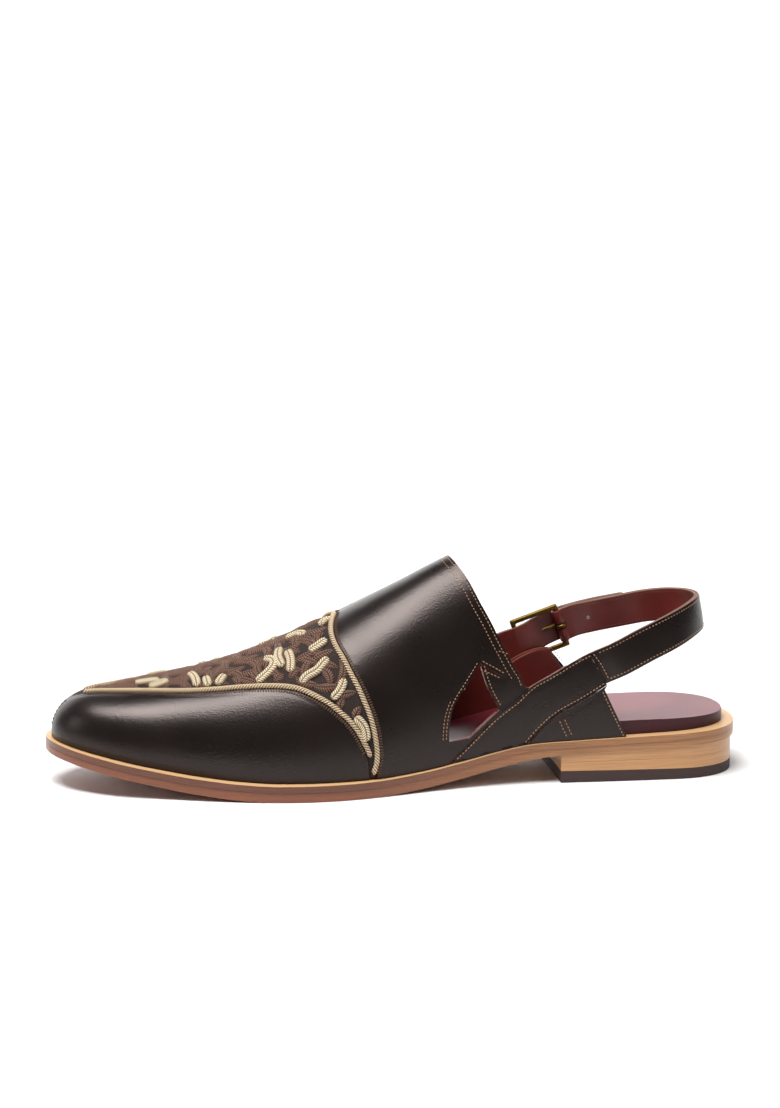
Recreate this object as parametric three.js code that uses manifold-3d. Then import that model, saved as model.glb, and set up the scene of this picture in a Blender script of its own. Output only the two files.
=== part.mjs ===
import * as THREE from "three";
import { mergeVertices } from "three/addons/utils/BufferGeometryUtils.js";
import Module from "manifold-3d";

const wasm = await Module();
wasm.setup();

// A left peshawari chappal in millimetres. +Z is up, the floor is z = 0, the toe points to -X and
// the lateral side is -Y. The origin is under the middle of the sole's length.

// Sole
const LENGTH = 302; // sole, heel back to toe tip
const BALL_WIDTH = 95.5; // sole at its widest
const HEEL_WIDTH = 62; // sole at the heel
const HEEL_HEIGHT = 12.7; // from the floor to the outsole at the heel breast
const HEEL_LENGTH = 82.3; // heel back to breast
const TOP_PIECE = 5.2; // dark rubber piece under the heel
const TOE_SPRING = 15; // from the floor to the outsole's toe tip
const OUTSOLE = 4.1; // outsole in the forepart
const OUTSOLE_STEP = 0.4; // outsole edge set in from the welt's edge
const HEEL_STEP = 0.7; // heel edge set in from the outsole's edge
const WELT = 3;
const WELT_MARGIN = 4; // welt that shows beside the ball of the foot
const INSOLE = 6.4; // insole at its thickest, under the heel
const SOLE_GAP = 0.1; // between the curved faces of the sole's layers

// Upper
const INSTEP_HEIGHT = 93; // inside height of the ridge at the collar
const TOE_HEIGHT = 37.8; // inside height of the ridge over the toes
const NOSE = 18.7; // length over which the toe box rounds down
const WALL = 1.8; // lining and backing
const LEATHER = 1.2; // outer leather panels
const BULGE = 1.5; // swell of the wall over the feather edge
const FIT = 0.3; // gap between curved pieces
const PIPING = 2.4; // diameter of the piping
const LEAF_HEIGHT = 1.1; // raised leaf strips of the embroidered panel
const LEAF_WIDTH = 4.4;
const LEAF_LENGTH = 15; // longest leaf strip
const WINDOW_SHIFT = 6; // the medial window lies this much nearer the toe than the lateral one
const SLOPE_FADE = 8; // height up to which the upper follows the welt's slope
const SKIRT = 100; // drop of a cutting line below the feather edge, for a whole girth
const REACH = 2.6; // how far the cutting bodies stand past the faces that they cut

// Heel strap and buckle
const STRAP_WIDTH = 15;
const STRAP = 2.2; // thickness of the heel strap
const TAB = 1.8; // thickness of the buckle tab
const STRAP_LEAN = 10; // degrees that the strap's top leans in
const STRAP_LAP = 12; // heel strap under the quarter strap's end
const STRAP_BACK = 15.7; // from the sole's heel end to the middle of the strap
const TAB_FLARE = 1.5; // extra width of the tab's stitched end
const BUCKLE_LENGTH = 22.5;
const BUCKLE_ROD = 2.2;
const BUCKLE_PLAY = 0.7; // between the strap's edge and the frame
const PRONG = 1.7;

const LAYER = WALL + FIT; // inner face of the outer leather over the last
const BUILD = LAYER + LEATHER; // outer face of the outer leather

// Tables: "at" is the share of the sole's length from the heel back.
// Half widths of the sole: at, the width they are shares of, lateral, medial.
const SOLE_PLAN = [
  [0.0, HEEL_WIDTH, 0.5, 0.5],
  [0.1, HEEL_WIDTH, 0.508, 0.508],
  [0.2, HEEL_WIDTH, 0.508, 0.492],
  [0.3, HEEL_WIDTH, 0.5, 0.444],
  [0.4, BALL_WIDTH, 0.351, 0.283],
  [0.5, BALL_WIDTH, 0.429, 0.351],
  [0.6, BALL_WIDTH, 0.508, 0.45],
  [0.68, BALL_WIDTH, 0.508, 0.492],
  [0.76, BALL_WIDTH, 0.461, 0.476],
  [0.85, BALL_WIDTH, 0.387, 0.403],
  [0.93, BALL_WIDTH, 0.33, 0.33],
  [1.0, BALL_WIDTH, 0.304, 0.288],
];
// Underside of the outsole: at, the height it is a share of, share.
const SOLE_UNDERSIDE = [
  [0.0, HEEL_HEIGHT, 1.236],
  [0.1, HEEL_HEIGHT, 1.15],
  [0.25, HEEL_HEIGHT, 1.0],
  [0.31, HEEL_HEIGHT, 0.882],
  [0.36, HEEL_HEIGHT, 0.654],
  [0.42, HEEL_HEIGHT, 0.339],
  [0.48, HEEL_HEIGHT, 0.118],
  [0.54, HEEL_HEIGHT, 0.012],
  [0.58, HEEL_HEIGHT, 0],
  [0.68, TOE_SPRING, 0],
  [0.73, TOE_SPRING, 0.047],
  [0.79, TOE_SPRING, 0.18],
  [0.86, TOE_SPRING, 0.42],
  [0.93, TOE_SPRING, 0.707],
  [1.0, TOE_SPRING, 1],
];
// Shares of the outsole's, insole's and welt margin's own size: at, share.
const OUTSOLE_TAPER = [[0, 0.66], [0.25, 0.71], [0.35, 0.95], [0.45, 1], [0.7, 1], [0.85, 0.854], [1, 0.683]];
const INSOLE_TAPER = [
  [0, 0.73], [0.1, 0.9], [0.2, 1], [0.3, 0.87], [0.4, 0.7], [0.5, 0.56], [0.7, 0.5], [1, 0.47],
];
const MARGIN_TAPER = [[0, 0.3], [0.35, 0.225], [0.45, 0.55], [0.6, 1], [0.8, 1], [0.93, 0.75], [1, 0.625]];
// Ridge of the last: at, the height it is a share of, share.
const RIDGE = [
  [0.1, INSTEP_HEIGHT, 1.086],
  [0.2, INSTEP_HEIGHT, 1.097],
  [0.3, INSTEP_HEIGHT, 1.086],
  [0.36, INSTEP_HEIGHT, 1.057],
  [0.413, INSTEP_HEIGHT, 1],
  [0.48, INSTEP_HEIGHT, 0.892],
  [0.56, INSTEP_HEIGHT, 0.766],
  [0.65, INSTEP_HEIGHT, 0.624],
  [0.75, TOE_HEIGHT, 1.243],
  [0.853, TOE_HEIGHT, 1.079],
  [0.92, TOE_HEIGHT, 1],
  [0.985, TOE_HEIGHT, 0.952],
];
// Section shape of the last: at, fullness of the sides, fullness of the top, share of the swell.
const SECTION = [
  [0.1, 2.3, 1.9, 0.33],
  [0.35, 2.2, 1.75, 0.33],
  [0.45, 2.1, 1.7, 0.55],
  [0.6, 2.15, 1.85, 0.9],
  [0.8, 2.3, 2.1, 1],
  [1.0, 2.3, 2.1, 0.55],
];
// Swing of the centre line to the medial side: at, share of the ball width.
const SWING = [[0, 0], [0.35, 0], [0.7, 0.0157], [1, 0.0314]];

// Lines on the last: at, across. Across is the share of a section's girth, from 0 at the lateral
// feather edge over 0.5 on the ridge to 1 at the medial feather edge. The medial side mirrors them.
const WING_LINE = [
  [0.5517, 0.0496], [0.5585, 0.0809], [0.5678, 0.1152], [0.5808, 0.1531], [0.5937, 0.179], [0.6064, 0.2031],
  [0.6191, 0.223], [0.6318, 0.2414], [0.6446, 0.2583], [0.671, 0.2807], [0.698, 0.2957], [0.7392, 0.3116],
  [0.781, 0.3245], [0.8506, 0.3625], [0.9205, 0.4296], [0.942, 0.461], [0.952, 0.5],
];
const BAND_LINE = [
  [0.549, 0], [0.5475, 0.0239], [0.5446, 0.0432], [0.5443, 0.0727], [0.5466, 0.11], [0.5502, 0.1427],
  [0.555, 0.1733], [0.5609, 0.2045], [0.5677, 0.2391], [0.5755, 0.2751], [0.5815, 0.3102], [0.5875, 0.3424],
  [0.5917, 0.3781], [0.5915, 0.4243], [0.5862, 0.4689], [0.581, 0.5],
];
const STRAP_TOP = [
  [0.4295, 0.0124], [0.3921, 0.0548], [0.3626, 0.0859], [0.3332, 0.1118], [0.3184, 0.1307],
  [0.2892, 0.1534], [0.26, 0.1774], [0.231, 0.1992],
];
const STRAP_FOOT = [
  [0.4285, 0], [0.385, 0], [0.35, 0], [0.323, 0], [0.2968, 0.041], [0.275, 0.0662], [0.2461, 0.0884],
  [0.2072, 0.1235],
];
const COLLAR = [
  [0.3184, 0.1307], [0.3242, 0.1345], [0.3299, 0.1523], [0.3397, 0.1829], [0.3494, 0.2158], [0.3601, 0.2538],
  [0.3729, 0.3042], [0.3853, 0.3506], [0.3966, 0.4001], [0.407, 0.4427], [0.4145, 0.48], [0.4165, 0.5],
];
const QUARTER_END = [[0.1779, 0], [0.1884, 0.0355], [0.2001, 0.0764], [0.2101, 0.1122]];
// The medial quarter is shorter, because the buckle tab leaves it higher up.
const STRAP_TOP_MEDIAL = [...STRAP_TOP.slice(0, 6), [0.272, 0.159], [0.2553, 0.1585]];
const STRAP_FOOT_MEDIAL = [...STRAP_FOOT.slice(0, 6), [0.252, 0.0835], [0.2308, 0.1075]];
const QUARTER_END_MEDIAL = [[0.1779, 0], [0.1975, 0.0355], [0.2155, 0.0764], [0.2335, 0.1]];
const WINDOW_FRONT = [[0.3899, 0.213], [0.413, 0.1684], [0.4269, 0.1403], [0.4349, 0.1091], [0.4384, 0.0544]];
const WINDOW_REAR = [[0.388, 0.1895], [0.3766, 0.1422], [0.3625, 0.095], [0.385, 0.0725], [0.407, 0.05]];
const NOTCH = [[0.3899, 0.213], [0.3574, 0.171], [0.388, 0.1895]];

// Natural cubic curve through the rows of a table.
function curve(rows) {
  const n = rows.length;
  const x = rows.map((r) => r[0]);
  const y = rows.map((r) => r[1]);
  const m = new Array(n).fill(0);
  const c = new Array(n).fill(0);
  const d = new Array(n).fill(0);
  for (let i = 1; i < n - 1; i++) {
    const a = x[i] - x[i - 1];
    const b = x[i + 1] - x[i];
    const right = 6 * ((y[i + 1] - y[i]) / b - (y[i] - y[i - 1]) / a);
    const pivot = 2 * (a + b) - a * c[i - 1];
    c[i] = b / pivot;
    d[i] = (right - a * d[i - 1]) / pivot;
  }
  for (let i = n - 2; i > 0; i--) m[i] = d[i] - c[i] * m[i + 1];
  return (at) => {
    const q = Math.min(Math.max(at, x[0]), x[n - 1]);
    let i = 0;
    while (i < n - 2 && q > x[i + 1]) i++;
    const h = x[i + 1] - x[i];
    const t = q - x[i];
    const first = (y[i + 1] - y[i]) / h - (h * (2 * m[i] + m[i + 1])) / 6;
    return y[i] + t * first + (t * t * m[i]) / 2 + (t ** 3 * (m[i + 1] - m[i])) / (6 * h);
  };
}

// Cubic curve through the rows of a table that never overshoots them.
function steady(rows) {
  const n = rows.length;
  const x = rows.map((r) => r[0]);
  const y = rows.map((r) => r[1]);
  const slope = [];
  for (let i = 0; i < n - 1; i++) slope.push((y[i + 1] - y[i]) / (x[i + 1] - x[i]));
  const m = [slope[0]];
  for (let i = 1; i < n - 1; i++) {
    const a = x[i] - x[i - 1];
    const b = x[i + 1] - x[i];
    const flat = slope[i - 1] * slope[i] <= 0;
    m.push(flat ? 0 : (3 * (a + b)) / ((2 * b + a) / slope[i - 1] + (b + 2 * a) / slope[i]));
  }
  m.push(slope[n - 2]);
  return (at) => {
    const q = Math.min(Math.max(at, x[0]), x[n - 1]);
    let i = 0;
    while (i < n - 2 && q > x[i + 1]) i++;
    const h = x[i + 1] - x[i];
    const t = (q - x[i]) / h;
    const rise = 3 * t * t - 2 * t ** 3;
    const bend = (t ** 3 - 2 * t * t + t) * m[i] + (t ** 3 - t * t) * m[i + 1];
    return y[i] + (y[i + 1] - y[i]) * rise + bend * h;
  };
}

const sized = (rows, column) => rows.map((r) => [r[0], r[1] * r[column]]);
const lateralHalf = curve(sized(SOLE_PLAN, 2));
const medialHalf = curve(sized(SOLE_PLAN, 3));
const underside = steady(sized(SOLE_UNDERSIDE, 2));
const outsoleTaper = steady(OUTSOLE_TAPER);
const insoleTaper = steady(INSOLE_TAPER);
const marginTaper = steady(MARGIN_TAPER);
const ridge = curve(sized(RIDGE, 2));
const sideFullness = steady(SECTION.map((r) => [r[0], r[1]]));
const topFullness = steady(SECTION.map((r) => [r[0], r[2]]));
const swell = steady(SECTION.map((r) => [r[0], r[3] * BULGE]));
const swing = curve(SWING.map((r) => [r[0], r[1] * BALL_WIDTH]));

const xOf = (at) => LENGTH / 2 - at * LENGTH;
const atOf = (x) => (LENGTH / 2 - x) / LENGTH;
const outsoleTop = (at) => underside(at) + OUTSOLE * outsoleTaper(at);
const weltTop = (at) => outsoleTop(at) + WELT;

// Roundness of an outline that runs from one end to the other: 0 at the ends, 1 between them.
const HEEL_ROUND = 0.105;
const TOE_ROUND = 0.125;
function rounding(at, from, to) {
  const h = Math.min(Math.max(1 - (at - from) / HEEL_ROUND, 0), 1);
  const t = Math.min(Math.max(1 - (to - at) / TOE_ROUND, 0), 1);
  return Math.pow(1 - h ** 2.35, 1 / 2.35) * Math.sqrt(1 - t * t);
}

// Lateral and medial edge of an outline set in from the sole's edge.
function outline(at, inset, from = inset / LENGTH, to = 1 - inset / LENGTH) {
  const q = (at - from) / (to - from);
  const k = rounding(at, from, to);
  return [swing(at) - (lateralHalf(q) - inset) * k, swing(at) + (medialHalf(q) - inset) * k];
}

// The last: the space that the foot fills, and the inner face of the upper.
const TIP = 1 - (WELT_MARGIN * 0.625 + BUILD) / LENGTH;
const BACK = (WELT_MARGIN * 0.3 + BUILD) / LENGTH;
const featherHeight = (at) => weltTop(at) + FIT;
const feather = (at) => outline(at, WELT_MARGIN * marginTaper(at) + BUILD, BACK, TIP);

const SAMPLES = 48;
const sections = new Map();
function section(at) {
  const key = at.toFixed(6);
  if (sections.has(key)) return sections.get(key);
  const edge = feather(at);
  const low = featherHeight(at);
  const nose = Math.min(Math.max(1 - ((TIP - at) * LENGTH) / NOSE, 0), 1);
  const high = (ridge(at) - low) * Math.pow(1 - nose ** 2.6, 1 / 2.6);
  const out = swell(at) * Math.sqrt(1 - nose * nose);
  const halves = edge.map((y) => {
    const points = [];
    const lengths = [0];
    for (let i = 0; i <= SAMPLES; i++) {
      const turn = (i / SAMPLES) * (Math.PI / 2);
      const c = Math.max(Math.cos(turn), 0);
      const s = Math.sin(turn);
      const wide = Math.abs(y - swing(at)) * Math.pow(c, 2 / sideFullness(at)) + out * 2 * s * c * c;
      const side = Math.sign(y - swing(at));
      points.push([swing(at) + side * wide, low + high * Math.pow(s, 2 / topFullness(at))]);
      if (i === 0) continue;
      const step = Math.hypot(points[i][0] - points[i - 1][0], points[i][1] - points[i - 1][1]);
      lengths.push(lengths[i - 1] + step);
    }
    return { points, lengths };
  });
  const found = { halves, girth: halves[0].lengths[SAMPLES] + halves[1].lengths[SAMPLES] };
  sections.set(key, found);
  return found;
}

// A point of the last's surface.
function onLast(at, across) {
  const s = Math.min(Math.max(at, BACK), TIP);
  const v = Math.min(Math.max(across, 0), 1);
  const half = section(s).halves[v <= 0.5 ? 0 : 1];
  const q = (v <= 0.5 ? 2 * v : 2 - 2 * v) * half.lengths[SAMPLES];
  let i = 1;
  while (i < SAMPLES && half.lengths[i] < q) i++;
  const span = half.lengths[i] - half.lengths[i - 1];
  const t = span > 0 ? (q - half.lengths[i - 1]) / span : 0;
  const [a, b] = [half.points[i - 1], half.points[i]];
  const beyond = across < 0 ? -across : across > 1 ? across - 1 : 0;
  return new THREE.Vector3(xOf(s), a[0] + (b[0] - a[0]) * t, a[1] + (b[1] - a[1]) * t - SKIRT * beyond);
}

// The outward direction there, never below level, so that wall ends stand on the welt.
function outward(at, across) {
  if (at >= TIP - 1e-6) return new THREE.Vector3(-1, 0, 0);
  const v = Math.min(Math.max(across, 0), 1);
  const along = onLast(Math.min(at + 0.002, TIP - 1e-5), v).sub(onLast(at - 0.002, v));
  const over = onLast(at, Math.min(v + 0.01, 1)).sub(onLast(at, Math.max(v - 0.01, 0)));
  const n = over.cross(along).normalize();
  n.z = Math.max(n.z, 0);
  return n.normalize();
}

// A point at a distance over the last. Low points follow the welt's slope.
function over(at, across, height) {
  const p = onLast(at, across);
  const low = featherHeight(Math.min(Math.max(at, BACK), TIP));
  const fade = Math.max(0, 1 - Math.max(p.z - low, 0) / SLOPE_FADE);
  p.addScaledVector(outward(at, across), height);
  p.z += (featherHeight(atOf(p.x)) - low) * fade;
  return p;
}

// A point on a line of the tables at a share of its rows, with the share clamped.
function along(rows, share) {
  const q = Math.min(Math.max(share, 0), 1) * (rows.length - 1);
  const i = Math.min(Math.floor(q), rows.length - 2);
  const t = q - i;
  return [rows[i][0] + (rows[i + 1][0] - rows[i][0]) * t, rows[i][1] + (rows[i + 1][1] - rows[i][1]) * t];
}

// A line of the tables moved sideways over the last by a distance: positive is to its left, seen
// from outside with the toe to the left and the line read from its first row to its last.
function beside(rows, distance) {
  return rows.map((r, i) => {
    const a = rows[Math.max(i - 1, 0)];
    const b = rows[Math.min(i + 1, rows.length - 1)];
    const girth = section(Math.min(r[0], TIP - 0.002)).girth;
    const dx = -(b[0] - a[0]) * LENGTH;
    const dy = (b[1] - a[1]) * girth;
    const l = Math.hypot(dx, dy);
    return [r[0] + ((dy / l) * distance) / LENGTH, r[1] + ((dx / l) * distance) / girth];
  });
}

// A closed solid from a grid of places, with an outer and an inner face and four edges.
function sheet(rows, columns, outer, inner) {
  const positions = [];
  const grid = (point) => rows.map((a) => columns.map((b) => point(a, b)));
  const top = grid(outer);
  const bottom = grid(inner);
  const quad = (a, b, c, d) => {
    for (const p of [a, b, c, a, c, d]) positions.push(p.x, p.y, p.z);
  };
  const I = rows.length - 1;
  const J = columns.length - 1;
  for (let i = 0; i < I; i++) {
    for (let j = 0; j < J; j++) {
      quad(top[i][j], top[i + 1][j], top[i + 1][j + 1], top[i][j + 1]);
      quad(bottom[i][j], bottom[i][j + 1], bottom[i + 1][j + 1], bottom[i + 1][j]);
    }
    quad(top[i + 1][0], top[i][0], bottom[i][0], bottom[i + 1][0]);
    quad(top[i][J], top[i + 1][J], bottom[i + 1][J], bottom[i][J]);
  }
  for (let j = 0; j < J; j++) {
    quad(top[0][j], top[0][j + 1], bottom[0][j + 1], bottom[0][j]);
    quad(top[I][j + 1], top[I][j], bottom[I][j], bottom[I][j + 1]);
  }
  return closed(positions);
}

// Shared corners merged, collapsed triangles dropped and faces turned out.
function closed(positions) {
  const raw = new THREE.BufferGeometry();
  raw.setAttribute("position", new THREE.BufferAttribute(new Float32Array(positions), 3));
  const merged = mergeVertices(raw, 2e-3);
  const index = merged.index.array;
  const kept = [];
  for (let i = 0; i < index.length; i += 3) {
    const [a, b, c] = [index[i], index[i + 1], index[i + 2]];
    if (a !== b && b !== c && c !== a) kept.push(a, b, c);
  }
  const p = merged.attributes.position;
  const corner = (i) => new THREE.Vector3().fromBufferAttribute(p, i);
  let volume = 0;
  for (let i = 0; i < kept.length; i += 3) {
    volume += corner(kept[i]).dot(corner(kept[i + 1]).cross(corner(kept[i + 2])));
  }
  for (let i = 0; volume < 0 && i < kept.length; i += 3) {
    [kept[i + 1], kept[i + 2]] = [kept[i + 2], kept[i + 1]];
  }
  merged.setIndex(kept);
  return merged;
}

// Booleans
function solid(geometry) {
  const g = geometry.clone();
  for (const name of Object.keys(g.attributes)) if (name !== "position") g.deleteAttribute(name);
  const flat = g.index ? g.toNonIndexed() : g;
  const shape = closed(flat.attributes.position.array);
  const vertProperties = new Float32Array(shape.attributes.position.array);
  const triVerts = new Uint32Array(shape.index.array);
  return new wasm.Manifold(new wasm.Mesh({ numProp: 3, vertProperties, triVerts }));
}
function drawn(body) {
  const mesh = body.getMesh();
  const g = new THREE.BufferGeometry();
  g.setAttribute("position", new THREE.BufferAttribute(new Float32Array(mesh.vertProperties), 3));
  g.setIndex(new THREE.BufferAttribute(new Uint32Array(mesh.triVerts), 1));
  return g;
}
const cut = (body, ...tools) => tools.reduce((b, t) => b.subtract(solid(t)), body);

const steps = (n) => Array.from({ length: n + 1 }, (_, i) => i / n);
const eased = (n, from, to) => steps(n).map((t) => from + ((to - from) * (1 - Math.cos(Math.PI * t))) / 2);
const mirrored = (rows) => rows.map((r) => [r[0], 1 - r[1]]);

const chappal = new THREE.Group();
function add(name, geometry, color, roughness, metalness = 0) {
  const mesh = new THREE.Mesh(geometry, new THREE.MeshStandardMaterial({ color, roughness, metalness }));
  mesh.name = name;
  chappal.add(mesh);
  return mesh;
}

// Sole: flat slabs ruled across, each between two heights and inside one outline.
function slab(stations, edges, low, high) {
  return sheet(
    stations,
    [0, 1],
    (at, b) => new THREE.Vector3(xOf(at), edges(at)[b], high(at)),
    (at, b) => new THREE.Vector3(xOf(at), edges(at)[b], low(at)),
  );
}
function soleStations(inset, count) {
  const from = inset / LENGTH;
  const to = 1 - inset / LENGTH;
  const heel = eased(14, 0, 0.5).slice(0, 7).map((t) => from + t * 0.45);
  const toe = heel.map((t) => from + to - t).reverse();
  const middle = steps(count).map((t) => heel[6] + (toe[0] - heel[6]) * t);
  return [...heel.slice(0, 6), ...middle, ...toe.slice(1)];
}
const weltBottom = (at) => outsoleTop(at) + SOLE_GAP;
const weltEdge = (at) => outline(at, 0);
const outsoleEdge = (at) => outline(at, OUTSOLE_STEP);
add("welt", slab(soleStations(0, 30), weltEdge, weltBottom, weltTop), 0x9a5f3c, 0.55);
add("outsole", slab(soleStations(OUTSOLE_STEP, 30), outsoleEdge, underside, outsoleTop), 0xb4744a, 0.55);

// Heel: two leather lifts on a rubber top piece, with a straight breast.
const heelInset = OUTSOLE_STEP + HEEL_STEP;
const heelStations = eased(16, heelInset / LENGTH, 0.5 * 0.3).slice(0, 9);
const heelEnd = HEEL_LENGTH / LENGTH;
for (const t of steps(6)) {
  const at = heelStations[8] + (heelEnd - heelStations[8]) * t;
  if (t > 0) heelStations.push(at);
}
const heelEdge = (at) => outline(at, heelInset);
const heelSlope = (low, high) => (at) => low + (high - low) * (1 - at / heelEnd);
const topPieceTop = heelSlope(TOP_PIECE, TOP_PIECE * 0.87);
const liftSeam = heelSlope((TOP_PIECE + HEEL_HEIGHT) / 2, (TOP_PIECE * 0.87 + HEEL_HEIGHT * 1.236) / 2);
add("heel_top_piece", slab(heelStations, heelEdge, () => 0, topPieceTop), 0x3f2e2c, 0.8);
add("heel_lift_lower", slab(heelStations, heelEdge, topPieceTop, liftSeam), 0xc8915f, 0.5);
const liftTop = (at) => underside(at) - SOLE_GAP;
add("heel_lift_upper", slab(heelStations, heelEdge, liftSeam, liftTop), 0xc8915f, 0.5);

// Insole: fills the feather edge of the upper and lies open at the heel.
const insoleFrom = BACK + (2 * FIT) / LENGTH;
const insoleTo = TIP - (2 * FIT) / LENGTH;
const insoleEdge = (at) => {
  const inset = WELT_MARGIN * marginTaper(at) + BUILD + 2 * FIT;
  return outline(at, inset, insoleFrom, insoleTo);
};
const insoleStations = soleStations(0, 28).map((t) => insoleFrom + t * (insoleTo - insoleFrom));
const insoleBottom = (at) => weltTop(at) + SOLE_GAP;
const insoleTop = (at) => weltTop(at) + INSOLE * insoleTaper(at);
add("insole", slab(insoleStations, insoleEdge, insoleBottom, insoleTop), 0xa85560, 0.35);

// Upper: one hollow shell over the last, cut open at the collar, behind the quarters and at the
// side windows.
const TOE_STATIONS = [0.845, 0.885, 0.915, 0.938, 0.955, 0.966, 0.9745, 0.979].filter((at) => at < TIP);
const FOREPART_STATIONS = [0.5, 0.55, 0.6, 0.65, 0.7, 0.75, 0.8, ...TOE_STATIONS];
const SHELL_STATIONS = [0.15, 0.2, 0.245, 0.29, 0.33, 0.37, 0.41, 0.45, ...FOREPART_STATIONS];
const HALF_ACROSS = [0, 0.06, 0.13, 0.2, 0.27, 0.33, 0.385, 0.43, 0.467];
const bothSides = (half) => [...half, 0.5, ...half.map((v) => 1 - v).reverse()];
const shell = sheet(
  [...SHELL_STATIONS, TIP],
  bothSides(HALF_ACROSS),
  (at, across) => over(at, across, WALL),
  (at, across) => over(at, across, 0),
);
function cutter(rows, columns, place, low = -REACH, high = BUILD + REACH) {
  return sheet(
    rows,
    columns,
    (a, b) => over(...place(a, b), high),
    (a, b) => over(...place(a, b), low),
  );
}
// Between two lines of the tables, from the first line (0) to the second (1).
const between = (first, second) => (a, b) => {
  const p = along(first, a);
  const q = along(second, a);
  return [p[0] + (q[0] - p[0]) * b, p[1] + (q[1] - p[1]) * b];
};
const collarEdge = [[0.12, 0.1992], ...[...STRAP_TOP].reverse().slice(0, 3), ...COLLAR];
const collarCut = cutter(steps(collarEdge.length - 1), steps(14), between(collarEdge, mirrored(collarEdge)));
const endCut = (side, edge) => {
  const rows = [[0.171, -0.06], ...edge];
  const away = rows.map((r) => [0.12, r[1]]);
  return cutter(steps(rows.length - 1), [0, 1], between(side(rows), side(away)));
};
const lateralEnd = [...QUARTER_END, [0.2125, 0.122], [0.2, 0.16], [0.2, 0.21]];
const medialEnd = [...QUARTER_END_MEDIAL.slice(0, 3), [0.2308, 0.1075], [0.2553, 0.1585], [0.262, 0.21]];
// The heel strap's end lies in a slot of the shell under the quarter strap.
const lap = STRAP_LAP / LENGTH;
const slotCut = (side) => {
  const front = [[0.2072 + lap, 0.0905], [0.231 + lap, 0.2042]];
  const back = [[0.18, 0.139], [0.18, 0.25]];
  return cutter(steps(3), steps(3), between(side(front), side(back)));
};
const windowCut = (side) => cutter(steps(8), steps(2), between(side(WINDOW_FRONT), side(WINDOW_REAR)));
const notchCut = (side) => {
  const base = [NOTCH[0], [0.3895, 0.201], NOTCH[2]];
  return cutter(steps(2), steps(1), between(side(base), side([NOTCH[1], NOTCH[1], NOTCH[1]])));
};
const lateral = (rows) => rows;
const medial = mirrored;
const medialWindow = (rows) => mirrored(rows.map((r) => [r[0] + WINDOW_SHIFT / LENGTH, r[1]]));
const ends = [endCut(lateral, lateralEnd), endCut(medial, medialEnd)];
const lateralWindows = [windowCut(lateral), notchCut(lateral)];
const windows = [...lateralWindows, windowCut(medialWindow), notchCut(medialWindow)];
const upper = cut(solid(shell), collarCut, ...ends, slotCut(lateral), ...windows);
add("upper", drawn(upper), 0x5a221c, 0.6);

// Outer leather over the shell.
function panel(rows, columns, place, top = () => BUILD) {
  return sheet(
    rows,
    columns,
    (a, b) => over(...place(a, b), top(a, b)),
    (a, b) => over(...place(a, b), LAYER),
  );
}
const SEAM = FIT / 2; // each side of a butted seam

// Wings: from the feather edge up to the piping, meeting on the toe's centre line.
const halfPiping = PIPING / 2 + FIT;
const wingLine = beside(WING_LINE, halfPiping).slice(0, 16);
const wingTop = [[0.5546, 0], [0.5575, 0.03], ...wingLine, [0.957, 0.5], [TIP, 0.5]];
const wingRear = [0.5556, 0.5605, 0.568, 0.579, 0.592, 0.608, 0.63, 0.66];
const wingStations = [...wingRear, 0.7, 0.75, 0.8, ...TOE_STATIONS, TIP];
function topOfWing(at) {
  let i = 0;
  while (i < wingTop.length - 2 && at > wingTop[i + 1][0]) i++;
  const t = (at - wingTop[i][0]) / (wingTop[i + 1][0] - wingTop[i][0]);
  return wingTop[i][1] + (wingTop[i + 1][1] - wingTop[i][1]) * t;
}
const WING_ACROSS = [...HALF_ACROSS, 0.5];
function wing(side, sign) {
  const place = (at, across) => side([[at, 2 * across * topOfWing(at)]])[0];
  const geometry = panel(wingStations, WING_ACROSS, place);
  const p = geometry.attributes.position;
  for (let i = 0; i < p.count; i++) {
    const seam = swing(atOf(p.getX(i))) + sign * SEAM;
    if ((p.getY(i) - seam) * sign < 0) p.setY(i, seam);
  }
  return closed(geometry.toNonIndexed().attributes.position.array);
}
add("wing_lateral", wing(lateral, -1), 0x1f1a18, 0.25);
add("wing_medial", wing(medial, 1), 0x1f1a18, 0.25);

// A panel on the same grid as the shell, so that their facets lie parallel. It is then cut to its
// lines: everything on one side of a line of rows, as far as a second line.
const asOnLast = (at, across) => [at, across];
const aligned = (stations, height) => solid(panel(stations, bothSides(HALF_ACROSS), asOnLast, () => height));
const sideCut = (line, far) => cutter(steps(line.length - 1), steps(2), between(line, far));
const across = (half, extra = []) => {
  const line = [...extra, ...half];
  return [...line, ...mirrored(line).reverse().filter((r) => r[1] > 0.5)];
};

// Instep band: feather to feather over the ridge, with its tails under the quarter straps.
const bandFront = across(beside(BAND_LINE, -halfPiping), [[0.545, -0.03]]);
const strapEdge = [[0.4385, -0.03], [0.4375, 0], ...beside(STRAP_TOP, FIT).slice(0, 6)];
const underStrap = (side) => sideCut(side(strapEdge), side(strapEdge.map((r) => [r[0] - 0.01, -0.06])));
const bandStations = [0.29, 0.33, 0.37, 0.41, 0.45, 0.5, 0.55, 0.6];
const aheadOfBand = sideCut(bandFront, bandFront.map((r) => [r[0] + 0.09, r[1]]));
const tails = [underStrap(lateral), underStrap(medial)];
const band = cut(aligned(bandStations, BUILD), aheadOfBand, collarCut, ...tails, ...windows);
add("instep_band", drawn(band), 0x1f1a18, 0.25);

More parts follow.
